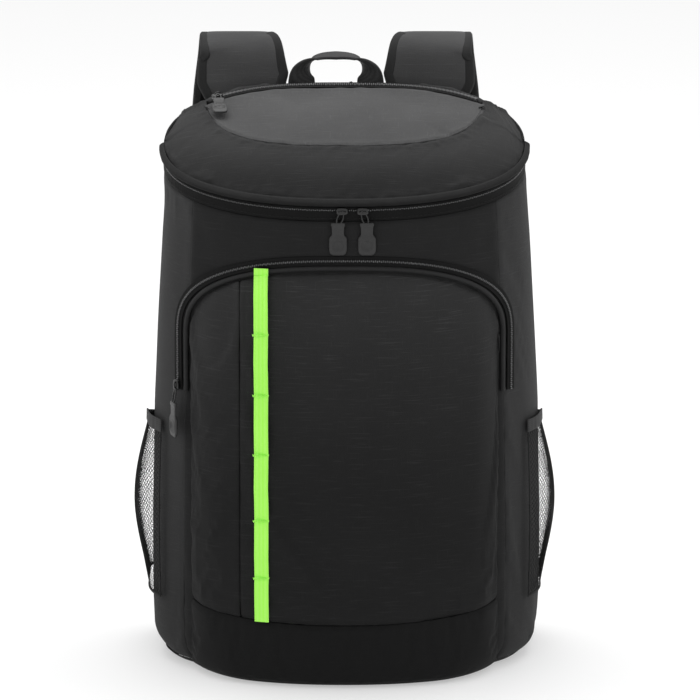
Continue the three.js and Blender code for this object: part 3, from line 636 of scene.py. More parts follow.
def wallRelief(seed, folds):
    def relief(points, s, t, edges):
        height = wallLook["wave"] * grainOver(s / 70, t / 110, seed)
        height = height + folds * grainOver(s / 22, t / 150, seed + 4)
        sides = [(edge, t, wallLook["side"], seed + n) for n, edge in enumerate(("left", "right"))]
        return sew(height, edges, *sides, ("high", s, wallLook["top"], seed + 2)) - wallLook["sunk"]
    return relief


def bodyWall(name, seams, columns, rows, material, seed, side=1, folds=0.0):
    low, high = seams[0] + wallLook["trim"], seams[1] - wallLook["trim"]

    def surface(u, v):
        x, y, z = wallPoint(evenShare((low, v), lambda share: wallPoint(share, v), low, high, u), v)
        return side * x, y, z
    relief, soft = wallRelief(seed, folds), {"rows": 50, "columns": 44, "cap": 1.6}
    piece = clothPiece(name, surface, columns, rows, material, relief, body["wall"] - 0.6,
                       flip=side < 0, soft=soft)
    return piece


frontWall = bodyWall("front_wall", wallLook["frontSeams"], 100, 130, bodyCloth, 2.0)
hold(frontWall, "body_cloth", "front_panel")
backWall = bodyWall("back_wall", wallLook["backSeams"], 70, 110, bodyCloth, 5.0, folds=0.6)
hold(backWall, "body_cloth", "back_panel")
sideSeams = (wallLook["frontSeams"][1], wallLook["backSeams"][0])
for word, side in pairs:
    wall = bodyWall(f"side_wall_{word}", sideSeams, 106, 140, sideCloth, 8.0 + side, side, 0.5)
    hold(wall, "body_cloth", f"side_gusset_{word}")


def basePoint(u, v):
    low, high = outlinePoint(u, body["base"], body["baseInset"]), outlinePoint(u, body["base"])
    if v < 0.5:
        x, y, z = (low[0] * v * 2, low[1] * v * 2, 0)
        full = v * 2
    else:
        part = (v - 0.5) * 2
        x, y, z = mix(low[0], high[0], part), mix(low[1], high[1], part), body["base"] * part ** 1.6
        full = 1
    if high[1] < 0 and abs(high[0]) < pocket["half"]:
        forward = pocket["depth"] + boot["fill"] * rollAt(body["base"])
        y -= forward * fullness(high[0], 0, boot["round"]) * full
    return x, y, z


# Main opening: tape, coil, rolled edge and hinge
mainZip = {
    "columns": 420, "teeth": {"pitch": 1.7, "width": 1.3, "height": 1.3, "stagger": 0.15}, "centre": 0.2,
    "seam": -6.6,
}


def openingShare(u, shares):
    low, high = shares[0] + 0.0006, shares[1] - 0.0006
    return evenShare(shares, upperPoint, low, high, u)


def openingStrip(name, columns, rows, shares, low, high, depthAt, material, relief, thick):
    def surface(u, v):
        share = openingShare(u, shares)
        inward = depthAt(v)
        y = outlinePoint(share, opening["height"], inward)[1]
        return outlinePoint(share, openingAt(y) + mix(low, high, v), inward)
    return clothPiece(name, surface, columns, rows, material, relief, thick)


def openingLine(shares, lift, inward, count=360):
    points = []
    for k in range(count + 1):
        share = openingShare(k / count, shares)
        y = outlinePoint(share, opening["height"], inward)[1]
        points.append(outlinePoint(share, openingAt(y) + lift, inward))
    outs = [unit((y, -x, 0)) for x, y, z in np.gradient(np.array(points), axis=0)]
    return np.array(points), np.array(outs)


front, back = (0, opening["share"]), (opening["share"], 1)
lowEdge = body["gap"] - opening["below"]
tape = openingStrip("main_zip_tape", mainZip["columns"], 8, front, lowEdge, opening["above"],
                    lambda v: opening["recess"], zipTape, None, opening["thick"])
coil = zipTeeth(
    "main_zip_coil", *openingLine(front, mainZip["centre"], opening["recess"]), mainZip["teeth"], 0.1)
tapeSeam = stitches("main_tape_stitch_0", *openingLine(front, mainZip["seam"], opening["recess"]), 0.1)
hold(tape, "zip_tape", "main_zip", parts=[coil, tapeSeam])


def pipingRelief(points, s, t, edges):
    across = t / t[-1:, :]
    twist = 0.28 * grainOver(s / 7 + across * 2, across * 1.5, 3.0)
    return twist * np.sin(np.pi * across) + 0.25 * np.sin(np.pi * across) * grainOver(s / 30, across, 9.0)


pipingLow = opening["above"] + body["gap"]
piping = openingStrip("lid_edge_roll", 520, 12, front, pipingLow, pipingLow + opening["piping"],
                      lambda v: opening["recess"] - opening["pipingOut"] * math.sin(math.pi * v) ** 0.8,
                      rollTape, pipingRelief, 1.2)
hold(piping, "binding", "lid_piping")
hinge = openingStrip("lid_hinge_cloth", 120, 14, back, lowEdge, pipingLow + opening["piping"],
                     lambda v: opening["recess"], bodyCloth,
                     lambda points, s, t, edges: 0.3 * grainOver(s / 14, t / 8, 4.0), opening["thick"])
hold(hinge, "body_cloth", "lid_hinge")

# Lid
lid = {
    "wall": 5, "seamFront": 32, "seamHeight": 440, "seamSlope": 0.2, "panelWidth": 228, "zipDepth": 76,
    "zipBend": 34, "zipWidth": 9.3, "bulge": 5.5, "dome": 5, "reach": 110, "seamGap": 1.8, "centre": 40,
    "zipShort": 3.5, "bulgeReach": 55, "panelWall": 3,
    "crownLow": (1.8, 3.2, 1.0, 8.5, 13), "crownHigh": (1.5, 2.6, 0.9, 8, 12), "crownSunk": 0.5,
    "panelLow": (1.8, 2.6, 1.1, 9, 15), "panelHigh": (0.9, 2.2, 0.35, 9, 9),
    "crease": {"x": 80, "y": -8, "deep": 1.3, "wide": 4, "long": 14},
}
lidHalf = lid["panelWidth"] / 2
lidEnd = lidHalf * 0.98


def lidHeightAt(y):
    return lid["seamHeight"] + lid["seamSlope"] * (y + lid["seamFront"])


def lidFrontEdge(x):
    share = min(abs(x) / lidHalf, 1)
    return lid["reach"] * (1 - (1 - share ** 3) ** (1 / 3)) - lid["seamFront"]


def lidBackEdge(x):
    return lid["zipDepth"] - lid["zipBend"] * (abs(x) / lidHalf) ** 3.2


crownEdges = {}


def crownEdge(u):
    if u not in crownEdges:
        target = outlinePoint(u, opening["height"])
        ray = unit((target[0], target[1] - lid["centre"], 0))
        near, far = 0.0, float(body["width"])
        for _ in range(30):
            middle = (near + far) / 2
            x, y = ray[0] * middle, lid["centre"] + ray[1] * middle
            inside = abs(x) < lidEnd + lid["seamGap"] and y > lidFrontEdge(x) - lid["seamGap"]
            inside = inside and y < lidBackEdge(x) + lid["zipWidth"] + lid["seamGap"]
            near, far = (middle, far) if inside else (near, middle)
        y = lid["centre"] + ray[1] * near
        crownEdges[u] = np.array((ray[0] * near, y, lidHeightAt(y)))
    return crownEdges[u]


def crownPoint(u, v):
    u = evenShare("crown", upperPoint, 0, 1, u)
    flat = outlinePoint(u, opening["height"])
    lift = opening["above"] + opening["piping"] + 2 * body["gap"]
    low = np.array(outlinePoint(u, openingAt(flat[1]) + lift))
    high = crownEdge(u)
    outwards = unit((low[0] - high[0], low[1] - high[1], 0))
    away = outwards * 0.6 + np.array((0, 0, 0.8))
    bulge = lid["bulge"] * min(np.linalg.norm(low - high) / lid["bulgeReach"], 1)
    return mix(low, high, v) + away * bulge * math.sin(math.pi * v)


def crownRelief(points, s, t, edges):
    around = s + 0.4 * t
    height = sew(0.9 * grainOver(s / 55, t / 30, 1.0), edges,
                 ("low", around, lid["crownLow"], 2.0), ("high", around, lid["crownHigh"], 3.0))
    closing = np.minimum(1, np.minimum(s, s[:, -1:] - s) / 20)
    x, y = points[:, :, 0], points[:, :, 1]
    rear = 3.2 * smooth(48, 84, y) * np.exp(-((np.abs(x) - 78) / 34) ** 2) * np.sin(np.pi * t / t[-1:, :])
    return height * closing + rear - lid["crownSunk"]


crown = clothPiece("lid_crown_cloth", crownPoint, 500, 48, crownCloth, crownRelief, lid["wall"] - 1,
                   ring=True, soft={"rows": 14, "columns": 140, "slack": 0.012})
hold(crown, "lid_cloth", "lid_crown")


def lidPanelPoint(u, v):
    x = lidEnd * math.sin(math.pi / 2 * (2 * u - 1))
    y = mix(lidFrontEdge(x), lidBackEdge(x), v)
    dome = lid["dome"] * (1 - (x / lidEnd) ** 2) * math.sin(math.pi * v)
    return x, y, lidHeightAt(y) + dome


def lidPanelRelief(points, s, t, edges):
    x, y = points[:, :, 0], points[:, :, 1]
    height = sew(0.8 * grainOver(x / 40, y / 34, 7.0), edges,
                 ("low", x, lid["panelLow"], 8.0), ("high", x, lid["panelHigh"], 9.0))
    crease = lid["crease"]
    right, up = x - crease["x"], y - crease["y"]
    over, along = (right * 0.75 + up * 0.66) / crease["wide"], (right * 0.66 - up * 0.75) / crease["long"]
    return height - crease["deep"] * np.exp(-over ** 2 - along ** 2)


lidPanel = clothPiece("lid_top_cloth", lidPanelPoint, 220, 90, topCloth, lidPanelRelief,
                      lid["panelWall"] - 0.6, soft={"rows": 34, "columns": 70, "slack": 0.004})
hold(lidPanel, "lid_cloth", "lid_pocket_panel")

lidZip = {"teeth": {"pitch": 1.7, "width": 3.6, "height": 1.3, "stagger": 0.35}, "steps": 200}


def lidZipPoint(u, v):
    x = (lidEnd - lid["zipShort"]) * math.sin(math.pi / 2 * (2 * u - 1))
    y = lidBackEdge(x) + mix(body["gap"], lid["zipWidth"], v)
    return x, y, lidHeightAt(y) - 0.2


zipStrip = clothPiece("lid_zip_tape", lidZipPoint, 160, 8, zipTape, None, 1.4)
zipLine = np.array([lidZipPoint(k / lidZip["steps"], 0.5) for k in range(lidZip["steps"] + 1)])
zipOut = np.tile(unit((0, -lid["seamSlope"], 1)), (lidZip["steps"] + 1, 1))
lidCoil = zipTeeth("lid_zip_coil", zipLine, zipOut, lidZip["teeth"], 0.5)
hold(zipStrip, "zip_tape", "lid_pocket_zip", parts=[lidCoil])
print("opening and lid made")

# Front pocket
pocket = {
    "depth": 24, "wall": 2.5, "zipTop": 353.5, "zipSide": 134, "corner": 70, "zipEnd": 236, "zipWidth": 8,
    "shoulder": 55, "sideRound": 20, "seam": 53.5, "seamRise": 9, "pleat": -85, "piping": 4, "bow": 0.3,
    "power": 2.6, "low": (1.9, 3, 0.9, 9, 14), "high": (1.2, 2.4, 0.5, 9, 10), 
    "outer": (0.8, 3, 0.8, 14, 16), "inner": (0.9, 1.3, 0.15, 12, 6), "slack": 22, "flatHeight": 0.31,
}
pocket["inset"] = pocket["zipWidth"] / 2 + pocket["piping"] + 2 * body["gap"]
pocket["half"] = pocket["zipSide"] - pocket["inset"]
boot = {"round": 48, "wall": 4, "clear": 0.9, "fill": 0.8, "high": (1.7, 2.6, 0.8, 8, 12), "sunk": 0.3}


def archHeight(x, inset):
    share = clamp(abs(x) / (pocket["zipSide"] - inset))
    rise = (1 - share ** pocket["power"]) ** (1 / pocket["power"])
    return pocket["zipTop"] - pocket["corner"] + (pocket["corner"] - inset) * rise


def pocketSeam(x):
    return pocket["seam"] + pocket["seamRise"] * (abs(x) / pocket["half"]) ** 2.5


def roundShoulder(share):
    return math.sqrt(1 - (1 - clamp(share)) ** 2)


def fullness(x, cloth, spread):
    side = roundShoulder((pocket["half"] - cloth - abs(x)) / spread)
    return side * (1 - pocket["bow"] * (x / pocket["half"]) ** 2)


def pocketSurface(x, height, cloth=0.0):
    side = fullness(x, cloth, pocket["sideRound"])
    top = roundShoulder((archHeight(x, pocket["inset"] + cloth) - height) / pocket["shoulder"])
    return frontSurface(x, height) - body["gap"] - (pocket["depth"] - cloth) * side * top


def pocketPiece(name, low, high, columns, rows, seed, node):
    start, end = math.asin(low / pocket["half"]), math.asin(high / pocket["half"])

    def surface(u, v):
        x = pocket["half"] * math.sin(mix(start, end, u))
        height = mix(pocketSeam(x), archHeight(x, pocket["inset"]), 1 - (1 - v) ** 1.6)
        return x, pocketSurface(x, height), height

    def relief(points, s, t, edges):
        x, z = points[:, :, 0], points[:, :, 2]
        height = 0.9 * grainOver(x / 60, z / 80, seed) + 0.35 * grainOver(x / 30, z / 12, seed + 3)
        outer, inner = ("right", "left") if low > pocket["pleat"] - 1 else ("left", "right")
        return sew(height, edges, ("low", x, pocket["low"], seed + 1), ("high", s, pocket["high"], seed + 2),
                   (outer, t, pocket["outer"], seed + 5), (inner, t, pocket["inner"], seed + 6))

    piece = clothPiece(name, surface, columns, rows, pocketCloth, relief, 1.2,
                       soft={"rows": 56, "columns": 50 if high > 0 else 16, "slack": 0.005, "cap": 2.4})
    return hold(piece, "pocket_cloth", node)


pleat = pocket["pleat"]
pocketPiece("pocket_main_cloth", pleat + body["gap"] / 2, pocket["half"], 186, 170, 20.0, "pocket_panel")
pocketPiece("pocket_side_cloth", -pocket["half"], pleat - body["gap"] / 2, 50, 170, 30.0, "pocket_side_panel")


def bootPoint(u, v):
    x = pocket["half"] * math.sin(math.pi / 2 * (2 * u - 1))
    height = mix(body["base"] - body["lap"], pocketSeam(x) - body["gap"], v ** 1.2)
    spread = mix(boot["round"], pocket["sideRound"], height / pocketSeam(x))
    depth = (pocket["depth"] + boot["fill"] * rollAt(height)) * fullness(x, 0, spread)
    return x, frontSurface(x, height) - boot["clear"] - depth, height


def bootRelief(points, s, t, edges):
    x, z = points[:, :, 0], points[:, :, 2]
    return sew(0.7 * grainOver(x / 26, z / 16, 40.0), edges, ("high", x, boot["high"], 41.0)) - boot["sunk"]


bootPiece = clothPiece("boot_cloth", bootPoint, 200, 52, bootCloth, bootRelief, boot["wall"] - 1,
                       soft={"rows": 16, "columns": 70, "slack": 0.01, "cap": 2.0})
hold(bootPiece, "boot_cloth", "boot_panel")
base = clothPiece("base_cloth", basePoint, 200, 24, bootCloth, None, 0.0, ring=True)
hold(base, "boot_cloth", "base_panel")


def archLine(inset, steps=240):
    half, foot = pocket["zipSide"] - inset, pocket["zipTop"] - pocket["corner"]
    corner = pocket["corner"] - inset
    places = [(-half, mix(pocket["zipEnd"], foot, k / 12)) for k in range(12)]
    for k in range(steps + 1):
        turn = math.pi * k / steps
        x = -half * bent(math.cos(turn), 2 / pocket["power"])
        places.append((x, foot + corner * max(math.sin(turn), 0) ** (2 / pocket["power"])))
    places += [(half, mix(pocket["zipEnd"], foot, k / 12)) for k in range(11, -1, -1)]
    places = resample(np.array(places), 1.6)
    outs = np.array([facing(frontSurface, x, z) for x, z in places])
    points = np.array([(x, frontSurface(x, z), z) for x, z in places]) + outs * body["gap"]
    return points, outs


def alongLine(line, every=2):
    points, outs = line
    return [(points[k], outs[k]) for k in range(0, len(points), every)]


pocketZip = {"teeth": {"pitch": 1.6, "width": 1.8, "height": 1.2, "stagger": 0.2}}
zipLine = archLine(0)
pocketTape = bandMesh(
    "pocket_zip_tape", alongLine(zipLine), lambda k: flatProfile(pocket["zipWidth"], 1.5), zipTape, 0.3)
pocketCoil = zipTeeth("pocket_zip_coil", *zipLine, pocketZip["teeth"], 2.0)
hold(pocketTape, "zip_tape", "pocket_zip", parts=[pocketCoil])


def rollProfile(width, height, steps=10):
    turns = [math.pi * k / steps for k in range(1, steps)]
    arc = [(math.cos(turn) * width / 2, math.sin(turn) ** 0.7 * height) for turn in turns]
    return [(-width / 2, 0), (width / 2, 0), *arc]


bindLine = archLine(pocket["zipWidth"] / 2 + body["gap"] + pocket["piping"] / 2)
binding = bandMesh(
    "pocket_binding", alongLine(bindLine, 1), lambda k: rollProfile(pocket["piping"], 3.2), bindingTape)
hold(binding, "binding", "pocket_piping")
print("front pocket made")

# Green webbing with its bar tacks
strip = {
    "place": -66.8, "width": 11.7, "thick": 1.4, "loose": 0.8, "clear": 0.8, "topInset": -6.5, "over": 3.4,
    "tacks": [0.127, 0.293, 0.483, 0.654, 0.826], "tackLength": 2.3, "tackWidth": 13, "threads": 24,
    "steps": 300,
}


def stripSeat(x, height):  # over the pocket's cloth and its binding
    return min(pocketSurface(x, height), frontSurface(x, height) - strip["over"])


def stripAt(share):
    low = pocketSeam(strip["place"])
    high = archHeight(strip["place"], pocket["inset"]) - strip["topInset"]
    height, x = mix(low, high, share), strip["place"]
    return np.array((x, stripSeat(x, height), height)), facing(stripSeat, x, height), high - low


def stripLine():
    line, ends = [], [0, *strip["tacks"], 1]
    for k in range(strip["steps"] + 1):
        share = k / strip["steps"]
        at, out, tall = stripAt(share)
        index = min(sum(share >= end for end in ends) - 1, len(ends) - 2)
        bay = (share - ends[index]) / (ends[index + 1] - ends[index])
        nearTack = max(math.exp(-((share - end) * tall / 3.5) ** 2) for end in strip["tacks"])
        loose = strip["loose"] * math.sin(math.pi * clamp(bay)) + 0.25 * grain(share * 30, 0, 1)
        at = at + np.array((0.25 * grain(share * 14, 3, 0), 0, 0))
        line.append((at + out * (strip["clear"] + loose - 0.35 * nearTack), out))
    return line


webbing = bandMesh(
    "green_strip", stripLine(), lambda k: flatProfile(strip["width"], strip["thick"], 4, 0.22), greenWebbing)
tackSeats = []
for share in strip["tacks"]:
    at, out, tall = stripAt(share)
    at = at + out * strip["clear"]
    upward = unit(np.cross((1, 0, 0), out) * -1)
    for n in range(strip["threads"]):
        side = mix(-strip["tackWidth"] / 2, strip["tackWidth"] / 2, (n + 0.5) / strip["threads"])
        lean = unit(upward + np.array((0.3 * (1 if n % 2 else -1), 0, 0)))
        seat = at + out * (strip["thick"] + 0.8) + np.array((side, 0, 0))
        tackSeats.append((seat, lean, unit(np.cross(out, lean)), out))
tacks = scatter("green_tacks", roundedBar(strip["tackLength"], 0.6, 1.0, 5), tackSeats, greenWebbing)
hold(webbing, "green_webbing", "accent_strip", parts=[tacks])

# Net side pockets
net = {
    "low": 57, "high": 196, "bulge": 12.4, "mouth": 2.4, "fill": 1.1, "clear": 0.8, "seams": (0.47, 0.68),
    "cell": 2.1, "lean": 0.62, "wobble": 0.32, "fall": 0.3, "front": 10, "thread": 0.42, "band": 10.5,
    "bandThick": 1.4, "cut": (0.135, 0.15), "cloth": 0.0155, "hem": 2.6,
}


def netPoint(side, u, height, standoff):
    x, y, z = outlinePoint(mix(net["seams"][0], net["seams"][1], u), height, -standoff)
    return side * x, y, z


def netTop(side, u):  # the mouth falls towards the back
    return net["high"] - net["fall"] * max(netPoint(side, u, net["high"], 0)[1] - net["front"], 0)


def netSurface(side, u, v):
    across = max(math.sin(math.pi * clamp(u)), 0) ** 0.6
    bulge = mix(net["mouth"] * v, net["bulge"], math.sin(math.pi * v ** net["fill"])) * across
    return np.array(netPoint(side, u, mix(net["low"], netTop(side, u), v), net["clear"] + 0.6 + bulge))


def netLines(side):
    middle = [netSurface(side, k / 60, 0.5) for k in range(61)]
    wide = np.linalg.norm(np.diff(middle, axis=0), axis=1).sum()
    tall = net["high"] - net["low"]
    steps = int(tall / (net["cell"] * 0.9))
    lines = []
    for lean in (-1, 1):
        for start in np.arange(-tall, wide, net["cell"] * 1.3):
            places = []
            for k in range(steps + 1):
                t = k / steps
                along = start + (t if lean > 0 else 1 - t) * tall * net["lean"]
                u = (along + net["wobble"] * (1 if k % 2 else -1)) / wide
                if 0 <= u <= 1:
                    places.append(netSurface(side, u, t))
                elif places:
                    lines.append(places)
                    places = []
            lines.append(places)
    return [line for line in lines if len(line) > 1]


def threadMesh(name, lines, radius, material, sides=3):
    points, faces = [], []
    circle = [(math.cos(k * 2 * math.pi / sides), math.sin(k * 2 * math.pi / sides)) for k in range(sides)]
    for line in lines:
        line = np.array(line)
        base = len(points)
        for at, along in zip(line, np.gradient(line, axis=0)):
            x = unit(np.cross(along, (0.3, 0.2, 1.0)))
            y = unit(np.cross(along, x))
            points += [at + (x * across + y * up) * radius for across, up in circle]
        faces += [tuple(base + i for i in face) for face in gridFaces(len(line), sides, True)]
    return makeMesh(name, points, faces, material)


hemPath = [(0.004, 1 - k / 40) for k in range(40)] + [(k / 60, 0.0) for k in range(61)]
hemPath += [(0.996, k / 40) for k in range(1, 41)]
for word, side in pairs:
    mesh = threadMesh(f"net_{word}", netLines(side), net["thread"] / 2, netThread)
    hem = [(netSurface(side, u, v), unit((side, 0, 0))) for u, v in hemPath]
    hemPiece = bandMesh(f"net_hem_{word}", hem, lambda k: rollProfile(net["hem"], 1.0, 6), rollTape)
    hold(mesh, "net", f"side_pocket_{word}", parts=[hemPiece])

    def bandSurface(u, v, side=side):
        across = max(math.sin(math.pi * u), 0) ** 0.6
        height = netTop(side, u) + body["gap"] + net["band"] * v
        x, y, z = netPoint(side, u, height, net["clear"] + net["mouth"] * across + net["bandThick"])
        return x, y, z + 0.35 * grain(u * 9, v, side)

    def bandRelief(points, s, t, edges):
        return 0.3 * grainOver(s / 4, t / 30, 50.0) - 0.5 * np.exp(-(edges["low"] / 1.2) ** 2)
    band = clothPiece(f"net_band_{word}", bandSurface, 150, 20, elasticTape, bandRelief,
                      net["bandThick"] - 0.3, flip=side < 0)
    hold(band, "elastic", f"side_band_{word}")
print("webbing and net made")

# Harness
strap = {
    "shift": -7, "thick": 11, "edge": 6.4, "top": 498, "width": 62, "spread": 81, "standoff": 46,
    "route": [  # height, standoff, spread, width, padding
        (0.87, 0.08, 0.88, 0.8, 0.6), (0.94, 0.19, 0.945, 1.22, 0.85), (0.984, 0.31, 0.97, 1.12, 1),
        (0.997, 0.48, 1, 1, 1), (1, 0.68, 1, 1, 1), (0.99, 0.88, 1.01, 1, 1), (0.96, 1, 1.02, 1.02, 1),
        (0.9, 1.02, 1.05, 1.06, 1), (0.8, 1, 1.09, 1.08, 1), (0.68, 0.92, 1.13, 1.02, 1),
        (0.55, 0.8, 1.16, 0.92, 0.95), (0.43, 0.66, 1.18, 0.82, 0.8),
    ],
    "steps": 150, "bindWidth": 8.6, "stitchLift": 2.35, "stitchSide": 1.2,
}


def strapCentre(side):
    rows = [(side * strap["spread"] * row[2] + strap["shift"], body["backDepth"] + strap["standoff"] * row[1],
             (strap["top"] - strap["thick"] / 2) * row[0]) for row in strap["route"]]
    return follow(rows, strap["steps"])


def routeValue(column, share, rows=None):
    rows = rows or strap["route"]
    where = share * (len(rows) - 1)
    index = min(int(where), len(rows) - 2)
    return mix(rows[index][column], rows[index + 1][column], where - index)


def softProfile(width, thickness, edge, steps=14):
    half, upper = width / 2, []
    for k in range(steps + 1):
        share = -1 + 2 * k / steps
        swell = (1 - abs(share) ** 5) ** 0.6
        upper.append((half * share, edge / 2 + (thickness - edge) / 2 * swell))
    return [(x, -y) for x, y in upper] + upper[::-1]


for word, side in pairs:
    centre = strapCentre(side)
    ahead = tangents(centre)
    stations = [(at, np.array((0, -along[2], along[1]))) for at, along in zip(centre, ahead)]

    def sizeAt(k):
        share = k / strap["steps"]
        ripple = 0.25 * grain(share * 40, side, 0)
        deep = strap["thick"] * routeValue(4, share) - 0.8 + ripple
        return strap["width"] * routeValue(3, share) - 1.2, deep
    pad = bandMesh(
        f"strap_pad_{word}", stations, lambda k: softProfile(*sizeAt(k), strap["edge"]), strapCloth)
    pad.data.materials.append(strapBackShade)
    around = len(softProfile(1, 1, 1))
    # the inner half of the pad takes the painted-shade back material
    for polygon in pad.data.polygons:
        if polygon.index < around * strap["steps"] and polygon.index % around < around // 2:
            polygon.material_index = 1
    trims = []
    for edge in (-1, 1):
        rim = []
        for k, (at, out) in enumerate(stations):
            across = unit(np.cross(ahead[k], out))
            rim.append((at + across * edge * (sizeAt(k)[0] / 2 - strap["bindWidth"] / 2 + 0.6), out))
        profile = softProfile(strap["bindWidth"], strap["edge"] + 2.8, strap["edge"] - 0.6, 8)
        name = f"strap_binding_{word}_{'inner' if edge < 0 else 'outer'}"
        trim = bandMesh(name, rim, lambda k: profile, bindingTape)
        seam, outs = (np.array(column) for column in zip(*rim))
        for face in (-1, 1):
            name = f"strap_stitch_{word}_{edge + 1}{face + 1}"
            trims.append(stitches(name, seam, outs * face, strap["stitchLift"], strap["stitchSide"]))
        trims.append(trim)
    hold(pad, "strap_cloth", f"shoulder_strap_{word}", parts=trims)

handle = {
    "span": 57, "top": 482.6, "width": 22, "thick": 2.4, "foot": 428, "lean": 11.5,
    "half": [  # across, out from the back, up, twist
        (1, 0, 0, 0), (1, 0.2, 0.55, 0.08), (0.93, 0.55, 0.8, 0.5), (0.6, 0.9, 0.96, 0.92), (0, 1, 1, 1),
    ],
}
leftRows = [(-row[0], *row[1:]) for row in handle["half"]]
handleRows = leftRows + [(-row[0], *row[1:]) for row in leftRows[-2::-1]]
handleCurve = follow([
    (row[0] * handle["span"] / 2 + strap["shift"],
     body["backDepth"] + body["gap"] + handle["thick"] / 2 + handle["lean"] * row[1],
     mix(handle["foot"], handle["top"] - handle["thick"] / 2, row[2])) for row in handleRows], 120)
handleStations = []
for k, (at, along) in enumerate(zip(handleCurve, tangents(handleCurve))):
    twist = routeValue(3, k / 120, handleRows)
    handleStations.append((at, np.array((-along[2] * twist, 1 - twist, along[0] * twist))))
carry = bandMesh("carry_webbing", handleStations,
                 lambda k: flatProfile(handle["width"], handle["thick"], 7, 0.18, -handle["thick"] / 2),
                 webTape)
hold(carry, "webbing", "carry_handle")


def beyondStrap(side, distance):
    centre = strapCentre(side)
    return centre[-1] + unit(centre[-1] - centre[-2]) * distance


lower = {"width": 25, "thick": 1.8, "height": 46, "spread": 106, "buckle": 30}
for word, side in pairs:
    start = beyondStrap(side, lower["buckle"] + 0.6)
    second = beyondStrap(side, lower["buckle"] + 0.6 + lower["width"] / 2)
    wall, anchor = body["backDepth"] + body["gap"], side * lower["spread"]
    curve = follow([
        start, second,
        (mix(start[0], anchor, 0.4), mix(start[1], wall, 0.45), mix(start[2], lower["height"], 0.4)),
        (mix(start[0], anchor, 0.8), mix(start[1], wall, 0.9), mix(start[2], lower["height"], 0.75)),
        (anchor, wall, lower["height"])], 60)
    piece = bandMesh(f"lower_webbing_{word}", [(at, (0, 1, 0)) for at in curve],
                     lambda k: flatProfile(lower["width"], lower["thick"], 8, 0.16), webTape)
    hold(piece, "webbing", f"lower_strap_{word}")
    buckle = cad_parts[f"strap_buckle_{word}"].data
    buckle.materials.clear()
    buckle.materials.append(bucklePlastic)
print("harness made")

# Sliders and pullers
pull = {
    "length": 27, "small": 29, "width": 14.5, "thick": 3, "link": 6, "slider": (9, 6, 3), "meet": 6.5,
    "spacing": 16.6, "hangSpacing": 23.3, "dish": 1.3, "rim": 0.4, "wire": 0.7, "overlap": 1.4,
    "shell": [  # place share, width share, height share
        (-0.5, 0.62, 0.5), (-0.47, 0.8, 0.66), (-0.3, 0.98, 0.8), (0.0, 1, 0.86), (0.3, 0.92, 0.8),
        (0.47, 0.7, 0.66), (0.5, 0.55, 0.5),
    ],
    "form": [  # drop share, half width share, half thickness share
        (0, 0.34, 0.3), (0.015, 0.385, 0.42), (0.07, 0.39, 0.46), (0.1, 0.375, 0.4), (0.13, 0.345, 0.32),
        (0.33, 0.335, 0.3), (0.38, 0.35, 0.34), (0.43, 0.44, 0.46), (0.48, 0.49, 0.5), (0.7, 0.5, 0.5),
        (0.86, 0.49, 0.48), (0.94, 0.43, 0.42), (0.985, 0.33, 0.28), (1, 0.25, 0.12),
    ],
}


def seated(shape, at, x, y, z):
    return np.asarray(at, float) + np.asarray(shape, float) @ np.array([x, y, z], float)


def pullerPiece(name, length, width, at, x, y, z):
    points, sides, rows = [], 44, 64
    for row in range(rows + 1):
        share = (1 - math.cos(math.pi * row / rows)) / 2
        half, deep = width * lookUp(pull["form"], 1, share), pull["thick"] * lookUp(pull["form"], 2, share)
        for k in range(sides):
            turn = 2 * math.pi * k / sides
            across, depth = bent(math.cos(turn), 0.42) * half, bent(math.sin(turn), 0.5) * deep
            reach = math.hypot(across, length * (share - 0.69)) / (width * 0.36)
            if depth < 0:
                rim = pull["rim"] * math.exp(-((reach - 1.08) / 0.1) ** 2)
                depth += pull["dish"] * float(smooth(1.0, 0.55, reach)) - rim
            points.append((across, depth, -length * share))
    return makeMesh(name, seated(points, at, x, y, z), tubeFaces(rows + 1, sides), pullPlastic)


def wireLoop(name, at, x, y, z, length, width=4.6):
    ring = []
    for k in range(41):
        turn = 2 * math.pi * k / 40
        rise = length / 2 + math.sin(turn) * length / 2
        ring.append((math.cos(turn) * width / 2, 0.5 * math.sin(turn), rise))
    return threadMesh(name, [seated(ring, at, x, y, z)], pull["wire"], slideEnamel, 8)


def sliderPiece(name, at, x, y, z):
    long, wide, high = pull["slider"]
    points, sides = [], 20
    for place, breadth, rise in pull["shell"]:
        for k in range(sides):
            turn = 2 * math.pi * k / sides
            a = bent(math.cos(turn), 0.5) * wide / 2 * breadth
            h = (bent(math.sin(turn), 0.6) * 0.5 + 0.5) * high * 0.62 * rise / 0.86
            points.append((place * long, a, h))
    faces = tubeFaces(len(pull["shell"]), sides, True)
    shell = makeMesh(name, seated(points, at, x, y, z), faces, slideEnamel)
    turns = [math.pi * k / 16 for k in range(17)]
    bridge = [(math.cos(turn) * -long * 0.3, 0, high * 0.45 + math.sin(turn) * high * 0.62) for turn in turns]
    return shell, threadMesh(f"{name}_bridge", [seated(bridge, at, x, y, z)], 0.6, slideEnamel, 8)


